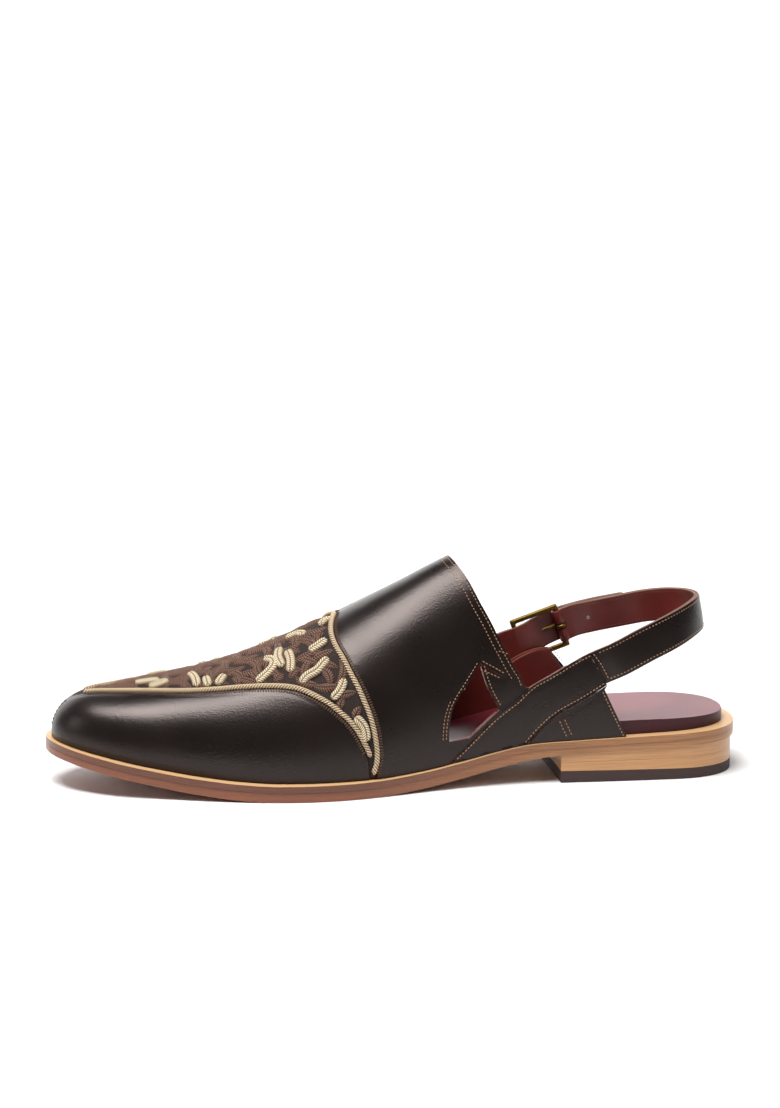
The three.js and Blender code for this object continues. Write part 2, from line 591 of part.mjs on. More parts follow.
// Quarters: a slanting strap from the waist up to the heel strap, and a lower piece behind it.
add("quarter_strap_lateral", panel(steps(14), steps(4), between(STRAP_FOOT, STRAP_TOP)), 0x1f1a18, 0.3);
const strapMedial = between(mirrored(STRAP_FOOT_MEDIAL), mirrored(STRAP_TOP_MEDIAL));
add("quarter_strap_medial", panel(steps(14), steps(4), strapMedial), 0x1f1a18, 0.3);
const quarterFoot = [[0.3185, 0], [0.285, 0], [0.25, 0], [0.215, 0], [0.1779, 0]];
function quarter(foot, edge) {
  const top = [[0.3195, 0], ...beside([[0.323, 0], ...foot.slice(4)], -FIT).slice(1, 4), edge[3]];
  return between(quarterFoot, top);
}
const quarterMedial = (a, b) => {
  const [at, across] = quarter(STRAP_FOOT_MEDIAL, QUARTER_END_MEDIAL)(a, b);
  return [at, 1 - across];
};
add("quarter_lateral", panel(steps(8), steps(3), quarter(STRAP_FOOT, QUARTER_END)), 0x1f1a18, 0.3);
add("quarter_medial", panel(steps(8), steps(3), quarterMedial), 0x1f1a18, 0.3);

// Embroidered panel between the pipings, with raised leaf strips.
const vampRear = across(beside(BAND_LINE, halfPiping).slice(2));
const vampSide = beside(WING_LINE, -halfPiping).slice(2, 16);
const vampTip = [[0.9505, 0.5], [0.9515, 0.507], [0.965, 0.507]];
const vampFront = [[0.52, 0.085], [0.5605, 0.085], ...vampSide, ...vampTip];
const belowVamp = (side) => sideCut(side(vampFront), side(vampFront.map((r) => [r[0], -0.02])));
const vampStations = [0.53, 0.55, 0.6, 0.65, 0.7, 0.75, 0.8, 0.845, 0.885, 0.915, 0.938, 0.955];
let vamp = cut(
  aligned(vampStations, LAYER + LEATHER * 0.7),
  sideCut(vampRear, vampRear.map((r) => [r[0] - 0.1, r[1]])),
  belowVamp(lateral),
  belowVamp(medial),
);
// Leaf strips: at, across, turn in degrees from the length line, share of the longest one's length.
const LEAVES = [
  [0.616, 0.42, 60, 0.93],
  [0.607, 0.3, 55, 1],
  [0.581, 0.2, 60, 0.8],
  [0.647, 0.35, 65, 1],
  [0.675, 0.43, 40, 1],
  [0.705, 0.37, 110, 0.87],
  [0.745, 0.4, 50, 0.93],
  [0.79, 0.415, 45, 0.93],
  [0.845, 0.44, 30, 1],
];
for (const side of [1, -1]) {
  for (const [at, across, turn, length] of LEAVES) {
    const place = (a, b) => {
      const t = (turn * Math.PI) / 180;
      const x = (a - 0.5) * length * LEAF_LENGTH;
      const y = (b - 0.5) * LEAF_WIDTH * (a === 0.5 ? 1 : 0.4);
      const girth = section(at).girth;
      const s = at + (x * Math.cos(t) - y * Math.sin(t)) / LENGTH;
      const v = across + (x * Math.sin(t) + y * Math.cos(t)) / girth;
      return [s, side > 0 ? v : 1 - v];
    };
    const crown = (a, b) => LEAF_HEIGHT * (b === 0.5 ? 1 : 0.3) * (a === 0.5 ? 1 : 0.5);
    const top = (a, b) => over(...place(a, b), LAYER + LEATHER * 0.6 + crown(a, b));
    const bottom = (a, b) => over(...place(a, b), LAYER + LEATHER * 0.25);
    vamp = vamp.add(solid(sheet(steps(2), steps(2), top, bottom)));
  }
}

// Pipings: round cords in the channels between the panels.
function cord(points, radius, sides = 6) {
  const shape = new THREE.Shape();
  for (let i = 0; i < sides; i++) {
    const a = (2 * Math.PI * (i + 0.5)) / sides;
    if (i) shape.lineTo(radius * Math.cos(a), radius * Math.sin(a));
    else shape.moveTo(radius * Math.cos(a), radius * Math.sin(a));
  }
  shape.closePath();
  const path = new THREE.CatmullRomCurve3(points, false, "centripetal");
  const count = Math.round(path.getLength() / (3.75 * PIPING));
  return new THREE.ExtrudeGeometry(shape, { steps: count, bevelEnabled: false, extrudePath: path });
}
const pipingHeight = LAYER + PIPING / 2;
const wingCord = [...WING_LINE.slice(0, 15), [0.9345, 0.449], [0.942, 0.464]];
wingCord[0] = [0.5535, 0.0575];
const piping = (rows, radius) => cord(rows.map((r) => over(...r, pipingHeight)), radius);
add("piping_wing_lateral", piping(wingCord, PIPING / 2), 0xd8c08a, 0.7);
add("piping_wing_medial", piping(mirrored(wingCord), PIPING / 2), 0xd8c08a, 0.7);
const bandCord = [[0.5492, 0.012], ...BAND_LINE.slice(1, 15)];
const bandCordRows = [...bandCord, BAND_LINE[15], ...mirrored(bandCord).reverse()];
add("piping_band", piping(bandCordRows, PIPING / 2), 0xd8c08a, 0.7);
const channel = PIPING / 2 + FIT * 0.6;
vamp = cut(vamp, ...[wingCord, mirrored(wingCord), bandCordRows].map((rows) => piping(rows, channel)));
add("vamp_panel", drawn(vamp), 0x5a4034, 0.85);

// A flat strap along a path of rows: middle point, outward direction, width.
function strapSolid(rows, thickness, count) {
  const middle = new THREE.CatmullRomCurve3(rows.map((r) => r.middle), false, "centripetal");
  const place = (t) => {
    const q = t * (rows.length - 1);
    const i = Math.min(Math.floor(q), rows.length - 2);
    const p = middle.getPoint(t);
    const tangent = middle.getTangent(t);
    const out = rows[i].out.clone().lerp(rows[i + 1].out, q - i);
    out.addScaledVector(tangent, -out.dot(tangent)).normalize();
    const width = rows[i].width + (rows[i + 1].width - rows[i].width) * (q - i);
    return { p, out, up: new THREE.Vector3().crossVectors(tangent, out).normalize(), width };
  };
  const corner = (t, b, o) => {
    const { p, out, up, width } = place(t);
    return p.clone().addScaledVector(up, (b - 0.5) * width).addScaledVector(out, o);
  };
  const face = (side) => (t, b) => corner(t, b, (side * thickness) / 2);
  return sheet(steps(count), [0, 1], face(1), face(-1));
}
const vec = (x, y, z) => new THREE.Vector3(x, y, z);

// Buckle: its own axes from the front bar to the rear bar, up the bars, and outward. It lies over
// the medial quarter strap, and its round rear bar carries the prong and the heel strap's fold.
const buckleTilt = (20 * Math.PI) / 180;
const buckleAlong = vec(Math.cos(buckleTilt), -0.04, Math.sin(buckleTilt)).normalize();
const buckleOut = vec(0, 1, 0.12).addScaledVector(buckleAlong, -vec(0, 1, 0.12).dot(buckleAlong)).normalize();
const buckleUp = new THREE.Vector3().crossVectors(buckleOut, buckleAlong).normalize();
const barAt = (BUCKLE_LENGTH - BUCKLE_ROD) / 2;
const buckleWidth = STRAP_WIDTH + 2 * (BUCKLE_ROD + BUCKLE_PLAY);
const frontBar = over(0.297, 1 - 0.176, BUILD + FIT + TAB + FIT + BUCKLE_ROD / 2);
const buckleCentre = frontBar.clone().addScaledVector(buckleAlong, barAt);
const inBuckle = (a, b, o) => {
  const p = buckleCentre.clone().addScaledVector(buckleAlong, a);
  return p.addScaledVector(buckleUp, b).addScaledVector(buckleOut, o);
};
const buckleSpace = new THREE.Matrix4()
  .makeBasis(buckleAlong, buckleUp, new THREE.Vector3().crossVectors(buckleAlong, buckleUp))
  .setPosition(buckleCentre);
const outSign = Math.sign(new THREE.Vector3().crossVectors(buckleAlong, buckleUp).dot(buckleOut));
const placed = (geometry, a, b, o) => solid(geometry.translate(a, b, o * outSign).applyMatrix4(buckleSpace));
const rod = (radius, height, sides = 12) => new THREE.CylinderGeometry(radius, radius, height, sides);

const sideBar = (sign) => {
  const bar = new THREE.BoxGeometry(BUCKLE_LENGTH, BUCKLE_ROD, BUCKLE_ROD);
  return placed(bar, 0, (sign * (buckleWidth - BUCKLE_ROD)) / 2, 0);
};
const buckleFrame = placed(new THREE.BoxGeometry(BUCKLE_ROD, buckleWidth, BUCKLE_ROD), -barAt, 0, 0)
  .add(sideBar(1))
  .add(sideBar(-1))
  .add(placed(rod(BUCKLE_ROD / 2, buckleWidth - BUCKLE_ROD), barAt, 0, 0));
add("buckle_frame", drawn(buckleFrame), 0x8a6a2a, 0.35, 0.9);

const bore = BUCKLE_ROD / 2 + FIT / 2;
const fold = bore + STRAP / 2;
const pinHeight = bore + PRONG / 2;
const pinLength = 2 * barAt + BUCKLE_ROD;
const pin = (radius, extra) => {
  const length = pinLength + extra;
  return placed(rod(radius, length, 8).rotateZ(Math.PI / 2), barAt - length / 2, 0, pinHeight);
};
const prong = placed(rod(fold, PRONG), barAt, 0, 0)
  .add(pin(PRONG / 2, 0))
  .subtract(placed(rod(bore, PRONG * 2), barAt, 0, 0));
add("buckle_prong", drawn(prong), 0x8a6a2a, 0.35, 0.9);

// Heel strap: from its lap under the lateral quarter strap, round behind the heel and up to a
// fold on the buckle's rear bar.
const lean = Math.tan((STRAP_LEAN * Math.PI) / 180);
const lapped = (at, across) => ({
  middle: over(at, across, WALL - STRAP / 2),
  out: outward(at, across),
  width: STRAP_WIDTH,
});
// Shares of the length from the strap's back, of the heel width and of the instep height, and the
// outward direction.
const behind = (x, y, z) => vec(LENGTH / 2 - STRAP_BACK - x * LENGTH, y * HEEL_WIDTH, z * INSTEP_HEIGHT);
const free = (x, y, z, ox, oy) => ({
  middle: behind(x, y, z),
  out: vec(ox, oy, lean).normalize(),
  width: STRAP_WIDTH,
});
const strapRows = [
  lapped(0.2565, 0.1485),
  lapped(0.238, 0.155),
  lapped(0.2191, 0.1618),
  free(0.1361, -0.442, 0.5742, 0, -1),
  free(0.0993, -0.4387, 0.6344, 0.05, -1),
  free(0.0613, -0.4032, 0.6871, 0.3, -1),
  free(0.0281, -0.2903, 0.7247, 0.8, -0.9),
  free(0.0053, -0.129, 0.743, 1, -0.35),
  free(0, 0, 0.7462, 1, 0),
  free(0.006, 0.129, 0.7441, 1, 0.35),
  free(0.0281, 0.2742, 0.7344, 0.8, 0.9),
  free(0.0579, 0.379, 0.7161, 0.3, 1),
  free(0.096, 0.4387, 0.6871, 0.08, 1),
  free(0.1358, 0.4742, 0.6591, 0.03, 1),
  { middle: inBuckle(barAt + 0.267 * BUCKLE_LENGTH, 0, 0.09 * STRAP), out: buckleOut, width: STRAP_WIDTH },
  { middle: inBuckle(barAt + bore + 0.23 * STRAP, 0, 0), out: buckleOut, width: STRAP_WIDTH },
];
const heelStrap = solid(strapSolid(strapRows, STRAP, 30))
  .add(placed(rod(fold, STRAP_WIDTH), barAt, 0, 0))
  .subtract(placed(rod(bore, STRAP_WIDTH * 2), barAt, 0, 0))
  .subtract(placed(rod(fold + FIT + 0.23 * STRAP, PRONG + 2 * FIT, 16), barAt, 0, 0));
add("sling_strap", drawn(heelStrap), 0x2a201d, 0.35);

// Buckle tab: stitched over the medial quarter, inside the front bar, outside the rear bar, and
// on over the heel strap. The prong comes up through its hole.
const onQuarter = (at, across) => ({
  middle: over(at, 1 - across, BUILD + FIT + TAB / 2),
  out: outward(at, 1 - across),
  width: STRAP_WIDTH + TAB_FLARE,
});
const onStrap = (row, extra) => ({
  middle: row.middle.clone().addScaledVector(row.out, (STRAP + TAB) / 2 + FIT + extra),
  out: row.out.clone(),
  width: STRAP_WIDTH,
});
const threaded = (a, o) => ({ middle: inBuckle(a, 0, o), out: buckleOut.clone(), width: STRAP_WIDTH });
const underBar = -(BUCKLE_ROD + TAB) / 2 - FIT;
const overFold = fold + FIT + TAB / 2;
const tabRows = [
  onQuarter(0.357, 0.1495),
  onQuarter(0.342, 0.158),
  onQuarter(0.326, 0.166),
  onQuarter(0.311, 0.172),
  threaded(-barAt, underBar),
  threaded(-barAt / 2, underBar + 0.67 * TAB),
  threaded(barAt / 4, overFold - 0.44 * TAB),
  threaded(barAt, overFold),
  onStrap(strapRows[13], FIT),
  onStrap(strapRows[12], FIT / 3),
  onStrap(free(0.0762, 0.4129, 0.7022, 0.2, 1), FIT / 3),
];
const tab = solid(strapSolid(tabRows, TAB, 24)).subtract(pin(PRONG / 2 + FIT, 2 * FIT));
add("buckle_tab", drawn(tab), 0x2a201d, 0.35);

export default chappal;
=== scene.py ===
import math

import bpy
import numpy as np
from mathutils import Matrix, Vector, geometry


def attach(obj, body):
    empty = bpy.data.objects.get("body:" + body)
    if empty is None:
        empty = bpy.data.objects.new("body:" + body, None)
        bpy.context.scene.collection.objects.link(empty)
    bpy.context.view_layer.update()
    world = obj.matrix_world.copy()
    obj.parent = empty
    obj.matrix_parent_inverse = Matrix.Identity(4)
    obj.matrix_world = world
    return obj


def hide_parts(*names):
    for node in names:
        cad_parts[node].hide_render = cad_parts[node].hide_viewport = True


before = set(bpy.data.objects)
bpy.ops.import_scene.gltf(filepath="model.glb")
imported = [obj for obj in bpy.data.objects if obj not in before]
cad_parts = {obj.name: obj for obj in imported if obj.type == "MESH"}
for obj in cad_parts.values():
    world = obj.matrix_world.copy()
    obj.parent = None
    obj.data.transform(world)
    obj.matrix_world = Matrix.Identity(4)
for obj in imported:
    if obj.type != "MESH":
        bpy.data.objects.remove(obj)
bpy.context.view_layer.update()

# The scene shows a left peshawari chappal, whose toe points to -X and whose lateral side is -Y.
# The camera stands low beside the lateral side, a little towards the toe, with a long lens.
CAMERA_TARGET = Vector((-0.00162, 0.0, 0.0967))
CAMERA_DISTANCE = 1.1
CAMERA_TURN = math.radians(-7.8)
CAMERA_RISE = math.radians(9.7)
FOCAL_SHARE = 2.312 * 1100 / 1108  # focal length over the height of the image

to_camera = Vector((
    math.sin(CAMERA_TURN) * math.cos(CAMERA_RISE),
    -math.cos(CAMERA_TURN) * math.cos(CAMERA_RISE),
    math.sin(CAMERA_RISE),
))
bpy.ops.object.camera_add(location=CAMERA_TARGET + CAMERA_DISTANCE * to_camera)
camera = bpy.context.object
camera.rotation_euler = to_camera.to_track_quat("Z", "Y").to_euler()
camera.data.sensor_width = 36
camera.data.lens = 36 * FOCAL_SHARE
camera.data.clip_end = 20
bpy.context.scene.camera = camera


# The stage is a pale floor that curves up behind the shoe. A soft box overhead lights the upper,
# small ones stand beyond the toe and the heel, and one low behind lights the backdrop. The room is
# nearly dark, which leaves the upright sides of the leather black.
def linear(hex_color):
    """An sRGB hex colour as linear RGBA."""
    parts = [int(hex_color[i : i + 2], 16) / 255 for i in (1, 3, 5)]
    return tuple(p / 12.92 if p <= 0.04045 else ((p + 0.055) / 1.055) ** 2.4 for p in parts) + (1,)


def node(tree, kind, settings=None, inputs=None):
    """Adds a shader node with its settings, and sets or links its inputs."""
    made = tree.nodes.new(kind)
    for name, value in (settings or {}).items():
        setattr(made, name, value)
    for name, value in (inputs or {}).items():
        if isinstance(value, bpy.types.NodeSocket):
            tree.links.new(value, made.inputs[name])
        else:
            made.inputs[name].default_value = value
    return made


def surface(name, base, roughness, **more):
    """A material with one Principled shader. Returns the material, its tree and the shader."""
    material = bpy.data.materials.new(name)
    material.use_nodes = True
    tree = material.node_tree
    shader = tree.nodes["Principled BSDF"]
    shader.inputs["Base Color"].default_value = linear(base)
    shader.inputs["Roughness"].default_value = roughness
    for key, value in more.items():
        shader.inputs[key].default_value = value
    return material, tree, shader


# matte painted board
stage_paint, _, _ = surface("stage_paint", "#f4f4f4", 0.9)
FLOOR_SIZE = (5.0, 1.9, 1.0)
FLOOR_MIDDLE = 0.4
bpy.ops.mesh.primitive_plane_add(size=1, location=(0, FLOOR_MIDDLE, 0))
floor = bpy.context.object
floor.name = "floor"
floor.scale = FLOOR_SIZE
bpy.ops.object.transform_apply(location=True, scale=True)
bpy.ops.object.mode_set(mode="EDIT")
bpy.ops.mesh.select_all(action="DESELECT")
bpy.ops.object.mode_set(mode="OBJECT")
for edge in floor.data.edges:
    edge.select = all(floor.data.vertices[v].co.y > FLOOR_MIDDLE for v in edge.vertices)
bpy.ops.object.mode_set(mode="EDIT")
bpy.ops.mesh.select_mode(type="EDGE")
bpy.ops.mesh.extrude_region_move(TRANSFORM_OT_translate={"value": (0, 0, 2.2)})
bpy.ops.object.mode_set(mode="OBJECT")
sweep = floor.modifiers.new("sweep", "BEVEL")
sweep.width = 0.7
sweep.segments = 16
bpy.ops.object.modifier_apply(modifier="sweep")
bpy.ops.object.shade_smooth()
floor.data.materials.append(stage_paint)


def soft_box(name, place, aim, width, height, power):
    bpy.ops.object.light_add(type="AREA", location=place)
    light = bpy.context.object
    light.name = name
    light.data.shape = "RECTANGLE"
    light.data.size = width
    light.data.size_y = height
    light.data.energy = power
    light.rotation_euler = (Vector(place) - Vector(aim)).to_track_quat("Z", "Y").to_euler()


soft_box("key_box", (-0.33, -0.34, 1.28), (0, 0, 0.05), 1.0, 0.5, 27)
soft_box("toe_box", (-1.3, -0.15, 0.5), (0, 0, 0.04), 0.25, 0.5, 1.2)
soft_box("heel_box", (0.9, -0.45, 0.7), (0.12, 0, 0.05), 0.35, 0.35, 1.6)
soft_box("backdrop_box", (0, 1.0, 0.75), (0, 1.3, 0.1), 3.0, 0.3, 17)
world = bpy.data.worlds.new("studio")
world.use_nodes = True
world.node_tree.nodes["Background"].inputs["Color"].default_value = linear("#e8ebee")
world.node_tree.nodes["Background"].inputs["Strength"].default_value = 0.1
bpy.context.scene.world = world
bpy.context.scene.view_settings.view_transform = "Standard"

# The last is the form that the upper is drawn over. Its sections follow the sole's outline, the
# height of the instep and the round of the toe. Sizes are millimetres, and "at" is the share of the
# sole's length from the heel back.
MM = 0.001
LENGTH, BALL_WIDTH, HEEL_WIDTH = 302, 95.5, 62
HEEL_HEIGHT, TOE_SPRING, OUTSOLE, WELT, WELT_MARGIN = 12.7, 15, 4.1, 3, 4
INSTEP_HEIGHT, TOE_HEIGHT, NOSE, BULGE = 93, 37.8, 18.7, 1.5
WALL, LEATHER, FIT, PIPING = 1.8, 1.2, 0.3, 2.4
LAYER = WALL + FIT
BUILD = LAYER + LEATHER
TIP = 1 - (WELT_MARGIN * 0.625 + BUILD) / LENGTH
BACK = (WELT_MARGIN * 0.3 + BUILD) / LENGTH
# at, the width it is a share of, lateral half, medial half
SOLE_PLAN = [
    (0.0, HEEL_WIDTH, 0.5, 0.5), (0.1, HEEL_WIDTH, 0.508, 0.508), (0.2, HEEL_WIDTH, 0.508, 0.492),
    (0.3, HEEL_WIDTH, 0.5, 0.444), (0.4, BALL_WIDTH, 0.351, 0.283), (0.5, BALL_WIDTH, 0.429, 0.351),
    (0.6, BALL_WIDTH, 0.508, 0.45), (0.68, BALL_WIDTH, 0.508, 0.492), (0.76, BALL_WIDTH, 0.461, 0.476),
    (0.85, BALL_WIDTH, 0.387, 0.403), (0.93, BALL_WIDTH, 0.33, 0.33), (1.0, BALL_WIDTH, 0.304, 0.288),
]
# at, the height it is a share of, share
SOLE_UNDERSIDE = [
    (0.0, HEEL_HEIGHT, 1.236), (0.1, HEEL_HEIGHT, 1.15), (0.25, HEEL_HEIGHT, 1.0), (0.31, HEEL_HEIGHT, 0.882),
    (0.36, HEEL_HEIGHT, 0.654), (0.42, HEEL_HEIGHT, 0.339), (0.48, HEEL_HEIGHT, 0.118),
    (0.54, HEEL_HEIGHT, 0.012), (0.58, HEEL_HEIGHT, 0), (0.68, TOE_SPRING, 0), (0.73, TOE_SPRING, 0.047),
    (0.79, TOE_SPRING, 0.18), (0.86, TOE_SPRING, 0.42), (0.93, TOE_SPRING, 0.707), (1.0, TOE_SPRING, 1),
]
RIDGE = [
    (0.1, INSTEP_HEIGHT, 1.086), (0.2, INSTEP_HEIGHT, 1.097), (0.3, INSTEP_HEIGHT, 1.086),
    (0.36, INSTEP_HEIGHT, 1.057), (0.413, INSTEP_HEIGHT, 1), (0.48, INSTEP_HEIGHT, 0.892),
    (0.56, INSTEP_HEIGHT, 0.766), (0.65, INSTEP_HEIGHT, 0.624), (0.75, TOE_HEIGHT, 1.243),
    (0.853, TOE_HEIGHT, 1.079), (0.92, TOE_HEIGHT, 1), (0.985, TOE_HEIGHT, 0.952),
]
# at, fullness of the sides, fullness of the top, share of the swell
SECTION = [
    (0.1, 2.3, 1.9, 0.33), (0.35, 2.2, 1.75, 0.33), (0.45, 2.1, 1.7, 0.55), (0.6, 2.15, 1.85, 0.9),
    (0.8, 2.3, 2.1, 1), (1.0, 2.3, 2.1, 0.55),
]
OUTSOLE_TAPER = [(0, 0.66), (0.25, 0.71), (0.35, 0.95), (0.45, 1), (0.7, 1), (0.85, 0.854), (1, 0.683)]
MARGIN_TAPER = [(0, 0.3), (0.35, 0.225), (0.45, 0.55), (0.6, 1), (0.8, 1), (0.93, 0.75), (1, 0.625)]
SWING = [(0, 0), (0.35, 0), (0.7, 0.0157), (1, 0.0314)]


def curve(rows):
    """Natural cubic curve through (x, y) rows."""
    x, y = np.array(rows, float).T
    h = np.diff(x)
    matrix = np.eye(len(x))
    right = np.zeros(len(x))
    for i in range(1, len(x) - 1):
        matrix[i, i - 1 : i + 2] = h[i - 1], 2 * (h[i - 1] + h[i]), h[i]
        right[i] = 6 * ((y[i + 1] - y[i]) / h[i] - (y[i] - y[i - 1]) / h[i - 1])
    m = np.linalg.solve(matrix, right)

    def value(at):
        q = np.clip(at, x[0], x[-1])
        i = np.clip(np.searchsorted(x, q, side="right") - 1, 0, len(x) - 2)
        t = q - x[i]
        first = (y[i + 1] - y[i]) / h[i] - h[i] * (2 * m[i] + m[i + 1]) / 6
        return y[i] + t * first + t**2 * m[i] / 2 + t**3 * (m[i + 1] - m[i]) / (6 * h[i])

    return value


def steady(rows):
    """Cubic curve through (x, y) rows that never overshoots them."""
    x, y = np.array(rows, float).T
    h = np.diff(x)
    slope = np.diff(y) / h
    m = np.concatenate([slope[:1], np.zeros(len(x) - 2), slope[-1:]])
    for i in range(1, len(x) - 1):
        if slope[i - 1] * slope[i] > 0:
            a, b = 2 * h[i] + h[i - 1], h[i] + 2 * h[i - 1]
            m[i] = (a + b) / (a / slope[i - 1] + b / slope[i])

    def value(at):
        q = np.clip(at, x[0], x[-1])
        i = np.clip(np.searchsorted(x, q, side="right") - 1, 0, len(x) - 2)
        t = (q - x[i]) / h[i]
        rise = 3 * t**2 - 2 * t**3
        bend = (t**3 - 2 * t**2 + t) * m[i] + (t**3 - t**2) * m[i + 1]
        return y[i] + (y[i + 1] - y[i]) * rise + bend * h[i]

    return value


lateral_half = curve([(r[0], r[1] * r[2]) for r in SOLE_PLAN])
medial_half = curve([(r[0], r[1] * r[3]) for r in SOLE_PLAN])
underside = steady([(r[0], r[1] * r[2]) for r in SOLE_UNDERSIDE])
ridge = curve([(r[0], r[1] * r[2]) for r in RIDGE])
side_fullness, top_fullness, swell = (steady([(r[0], r[k]) for r in SECTION]) for k in (1, 2, 3))
outsole_taper, margin_taper = steady(OUTSOLE_TAPER), steady(MARGIN_TAPER)
swing = curve([(r[0], r[1] * BALL_WIDTH) for r in SWING])


def outsole_top(at):
    return underside(at) + OUTSOLE * outsole_taper(at)


def welt_top(at):
    return outsole_top(at) + WELT


def outline(at, inset, start=None, end=None):
    """Lateral and medial y of an outline that is set in from the sole's edge."""
    start = inset / LENGTH if start is None else start
    end = 1 - inset / LENGTH if end is None else end
    q = (at - start) / (end - start)
    heel = np.clip(1 - (at - start) / 0.105, 0, 1)
    toe = np.clip(1 - (end - at) / 0.125, 0, 1)
    k = (1 - heel**2.35) ** (1 / 2.35) * np.sqrt(1 - toe**2)
    return swing(at) - (lateral_half(q) - inset) * k, swing(at) + (medial_half(q) - inset) * k


def feather_height(at):
    return welt_top(at) + FIT


def last_point(at, across):
    """Points of the last. Across runs from 0 at the lateral feather edge over 0.5 on the ridge to 1."""
    at = np.clip(at, BACK, TIP - 1e-6)
    across = np.clip(across, 0, 1)
    sides = outline(at, WELT_MARGIN * margin_taper(at) + BUILD, BACK, TIP)
    lateral = across <= 0.5
    width = np.abs(np.where(lateral, sides[0], sides[1]) - swing(at))
    low = feather_height(at)
    nose = np.clip(1 - (TIP - at) * LENGTH / NOSE, 0, 1)
    high = (ridge(at) - low) * (1 - nose**2.6) ** (1 / 2.6)
    out = BULGE * swell(at) * np.sqrt(1 - nose**2)
    turn = np.linspace(0, math.pi / 2, 49)
    c, s = np.cos(turn).clip(0), np.sin(turn)
    y = width[:, None] * c ** (2 / side_fullness(at)[:, None]) + out[:, None] * 2 * s * c**2
    z = high[:, None] * s ** (2 / top_fullness(at)[:, None])
    lengths = np.concatenate([np.zeros((len(at), 1)), np.hypot(np.diff(y), np.diff(z)).cumsum(1)], 1)
    goal = np.where(lateral, 2 * across, 2 - 2 * across) * lengths[:, -1]
    i = np.clip((lengths < goal[:, None]).sum(1), 1, 48)
    rows = np.arange(len(at))
    span = np.maximum(lengths[rows, i] - lengths[rows, i - 1], 1e-9)
    t = (goal - lengths[rows, i - 1]) / span
    wide = y[rows, i - 1] + (y[rows, i] - y[rows, i - 1]) * t
    tall = z[rows, i - 1] + (z[rows, i] - z[rows, i - 1]) * t
    place = [LENGTH / 2 - at * LENGTH, swing(at) + np.where(lateral, -wide, wide), low + tall]
    return np.stack(place, 1), 2 * lengths[:, -1]


# Leather is cut flat and then drawn over the last. The flat pattern keeps x along the shoe, with the
# rounding of the toe laid out past it, and y along the girth.
PATTERN_GIRTH = 220
NOSE_GIRTH = 42
NOSE_START = LENGTH / 2 - (TIP * LENGTH - NOSE)


def flat(rows):
    """(at, across) rows laid out in the flat pattern."""
    at, across = np.array(rows, float)[:, :2].T
    nose = np.clip(1 - (TIP - at) * LENGTH / NOSE, 0, 1)
    x = np.maximum(LENGTH / 2 - at * LENGTH, NOSE_START) - NOSE_GIRTH * np.arcsin(nose**1.3) / (math.pi / 2)
    return np.stack([x, (across - 0.5) * PATTERN_GIRTH], 1)


def at_of(x):
    turn = np.clip((NOSE_START - x) / NOSE_GIRTH, 0, 0.996)
    nose = np.sin(turn * math.pi / 2) ** (1 / 1.3)
    return np.where(x > NOSE_START, (LENGTH / 2 - x) / LENGTH, TIP - NOSE / LENGTH * (1 - nose))


def drape(points, height):
    """Places (in metres) and outward directions of flat pattern points at heights over the last."""
    x, across = points[:, 0], points[:, 1] / PATTERN_GIRTH + 0.5
    at = at_of(x)
    place, _ = last_point(at, across)
    along = last_point(at_of(x + 0.4), across)[0] - last_point(at_of(x - 0.4), across)[0]
    over = last_point(at, np.clip(across + 0.006, 0, 1))[0] - last_point(at, np.clip(across - 0.006, 0, 1))[0]
    out = np.cross(along, over)
    out /= np.linalg.norm(out, axis=1)[:, None] + 1e-12
    out[:, 2] = out[:, 2].clip(0)
    out /= np.linalg.norm(out, axis=1)[:, None] + 1e-12
    low = feather_height(at)
    fade = np.clip(1 - np.maximum(place[:, 2] - low, 0) / 8, 0, 1)
    place = place + out * np.asarray(height).reshape(-1, 1)
    place[:, 2] += (feather_height((LENGTH / 2 - place[:, 0]) / LENGTH) - low) * fade
    return place * MM, out


GIRTHS = np.linspace(BACK + 0.01, TIP - 0.001, 80)
GIRTH_AT = last_point(GIRTHS, np.full(80, 0.2))[1]


def girth_share(x):
    """Real girth over the pattern's girth."""
    return np.interp(at_of(x), GIRTHS, GIRTH_AT) / PATTERN_GIRTH


def line(rows, step=1.2):
    """A smooth flat line through (at, across) rows, with a point every step."""
    points = flat(rows)
    chord = np.concatenate([[0], np.linalg.norm(np.diff(points, axis=0), axis=1).cumsum()])
    count = max(int(chord[-1] / step), 1)
    t = np.linspace(0, chord[-1], count + 1)
    if len(rows) == 2:
        return points[0] + (points[1] - points[0]) * (t / chord[-1])[:, None]
    return np.stack([curve(list(zip(chord, points[:, k])))(t) for k in (0, 1)], 1)


def beside(points, distance):
    """A flat line moved sideways by real millimetres: to the left of its travel, seen from outside."""
    share = girth_share(points[:, 0])
    travel = np.gradient(points, axis=0) * np.stack([np.ones(len(points)), share], 1)
    travel /= np.linalg.norm(travel, axis=1)[:, None] + 1e-12
    moved = np.stack([-travel[:, 1], travel[:, 0] / share], 1)
    return points + moved * distance


def other_side(points):
    """The mirror image of a flat line on the other side of the shoe, run the other way."""
    return (points * (1, -1))[::-1]


def joined(*lines):
    """One closed outline from lines that follow each other."""
    points = np.vstack(lines)
    step = np.linalg.norm(points - np.roll(points, 1, axis=0), axis=1)
    return points[step > 0.25]


def inside(points, loops):
    """Which points lie inside the first loop and outside the others."""
    odd = np.zeros(len(points), bool)
    for loop in loops:
        for a, b in zip(loop, np.roll(loop, -1, axis=0)):
            if a[1] == b[1]:
                continue
            between = (a[1] > points[:, 1]) != (b[1] > points[:, 1])
            cross = a[0] + (points[:, 1] - a[1]) * (b[0] - a[0]) / (b[1] - a[1])
            odd ^= between & (points[:, 0] < cross)
    return odd


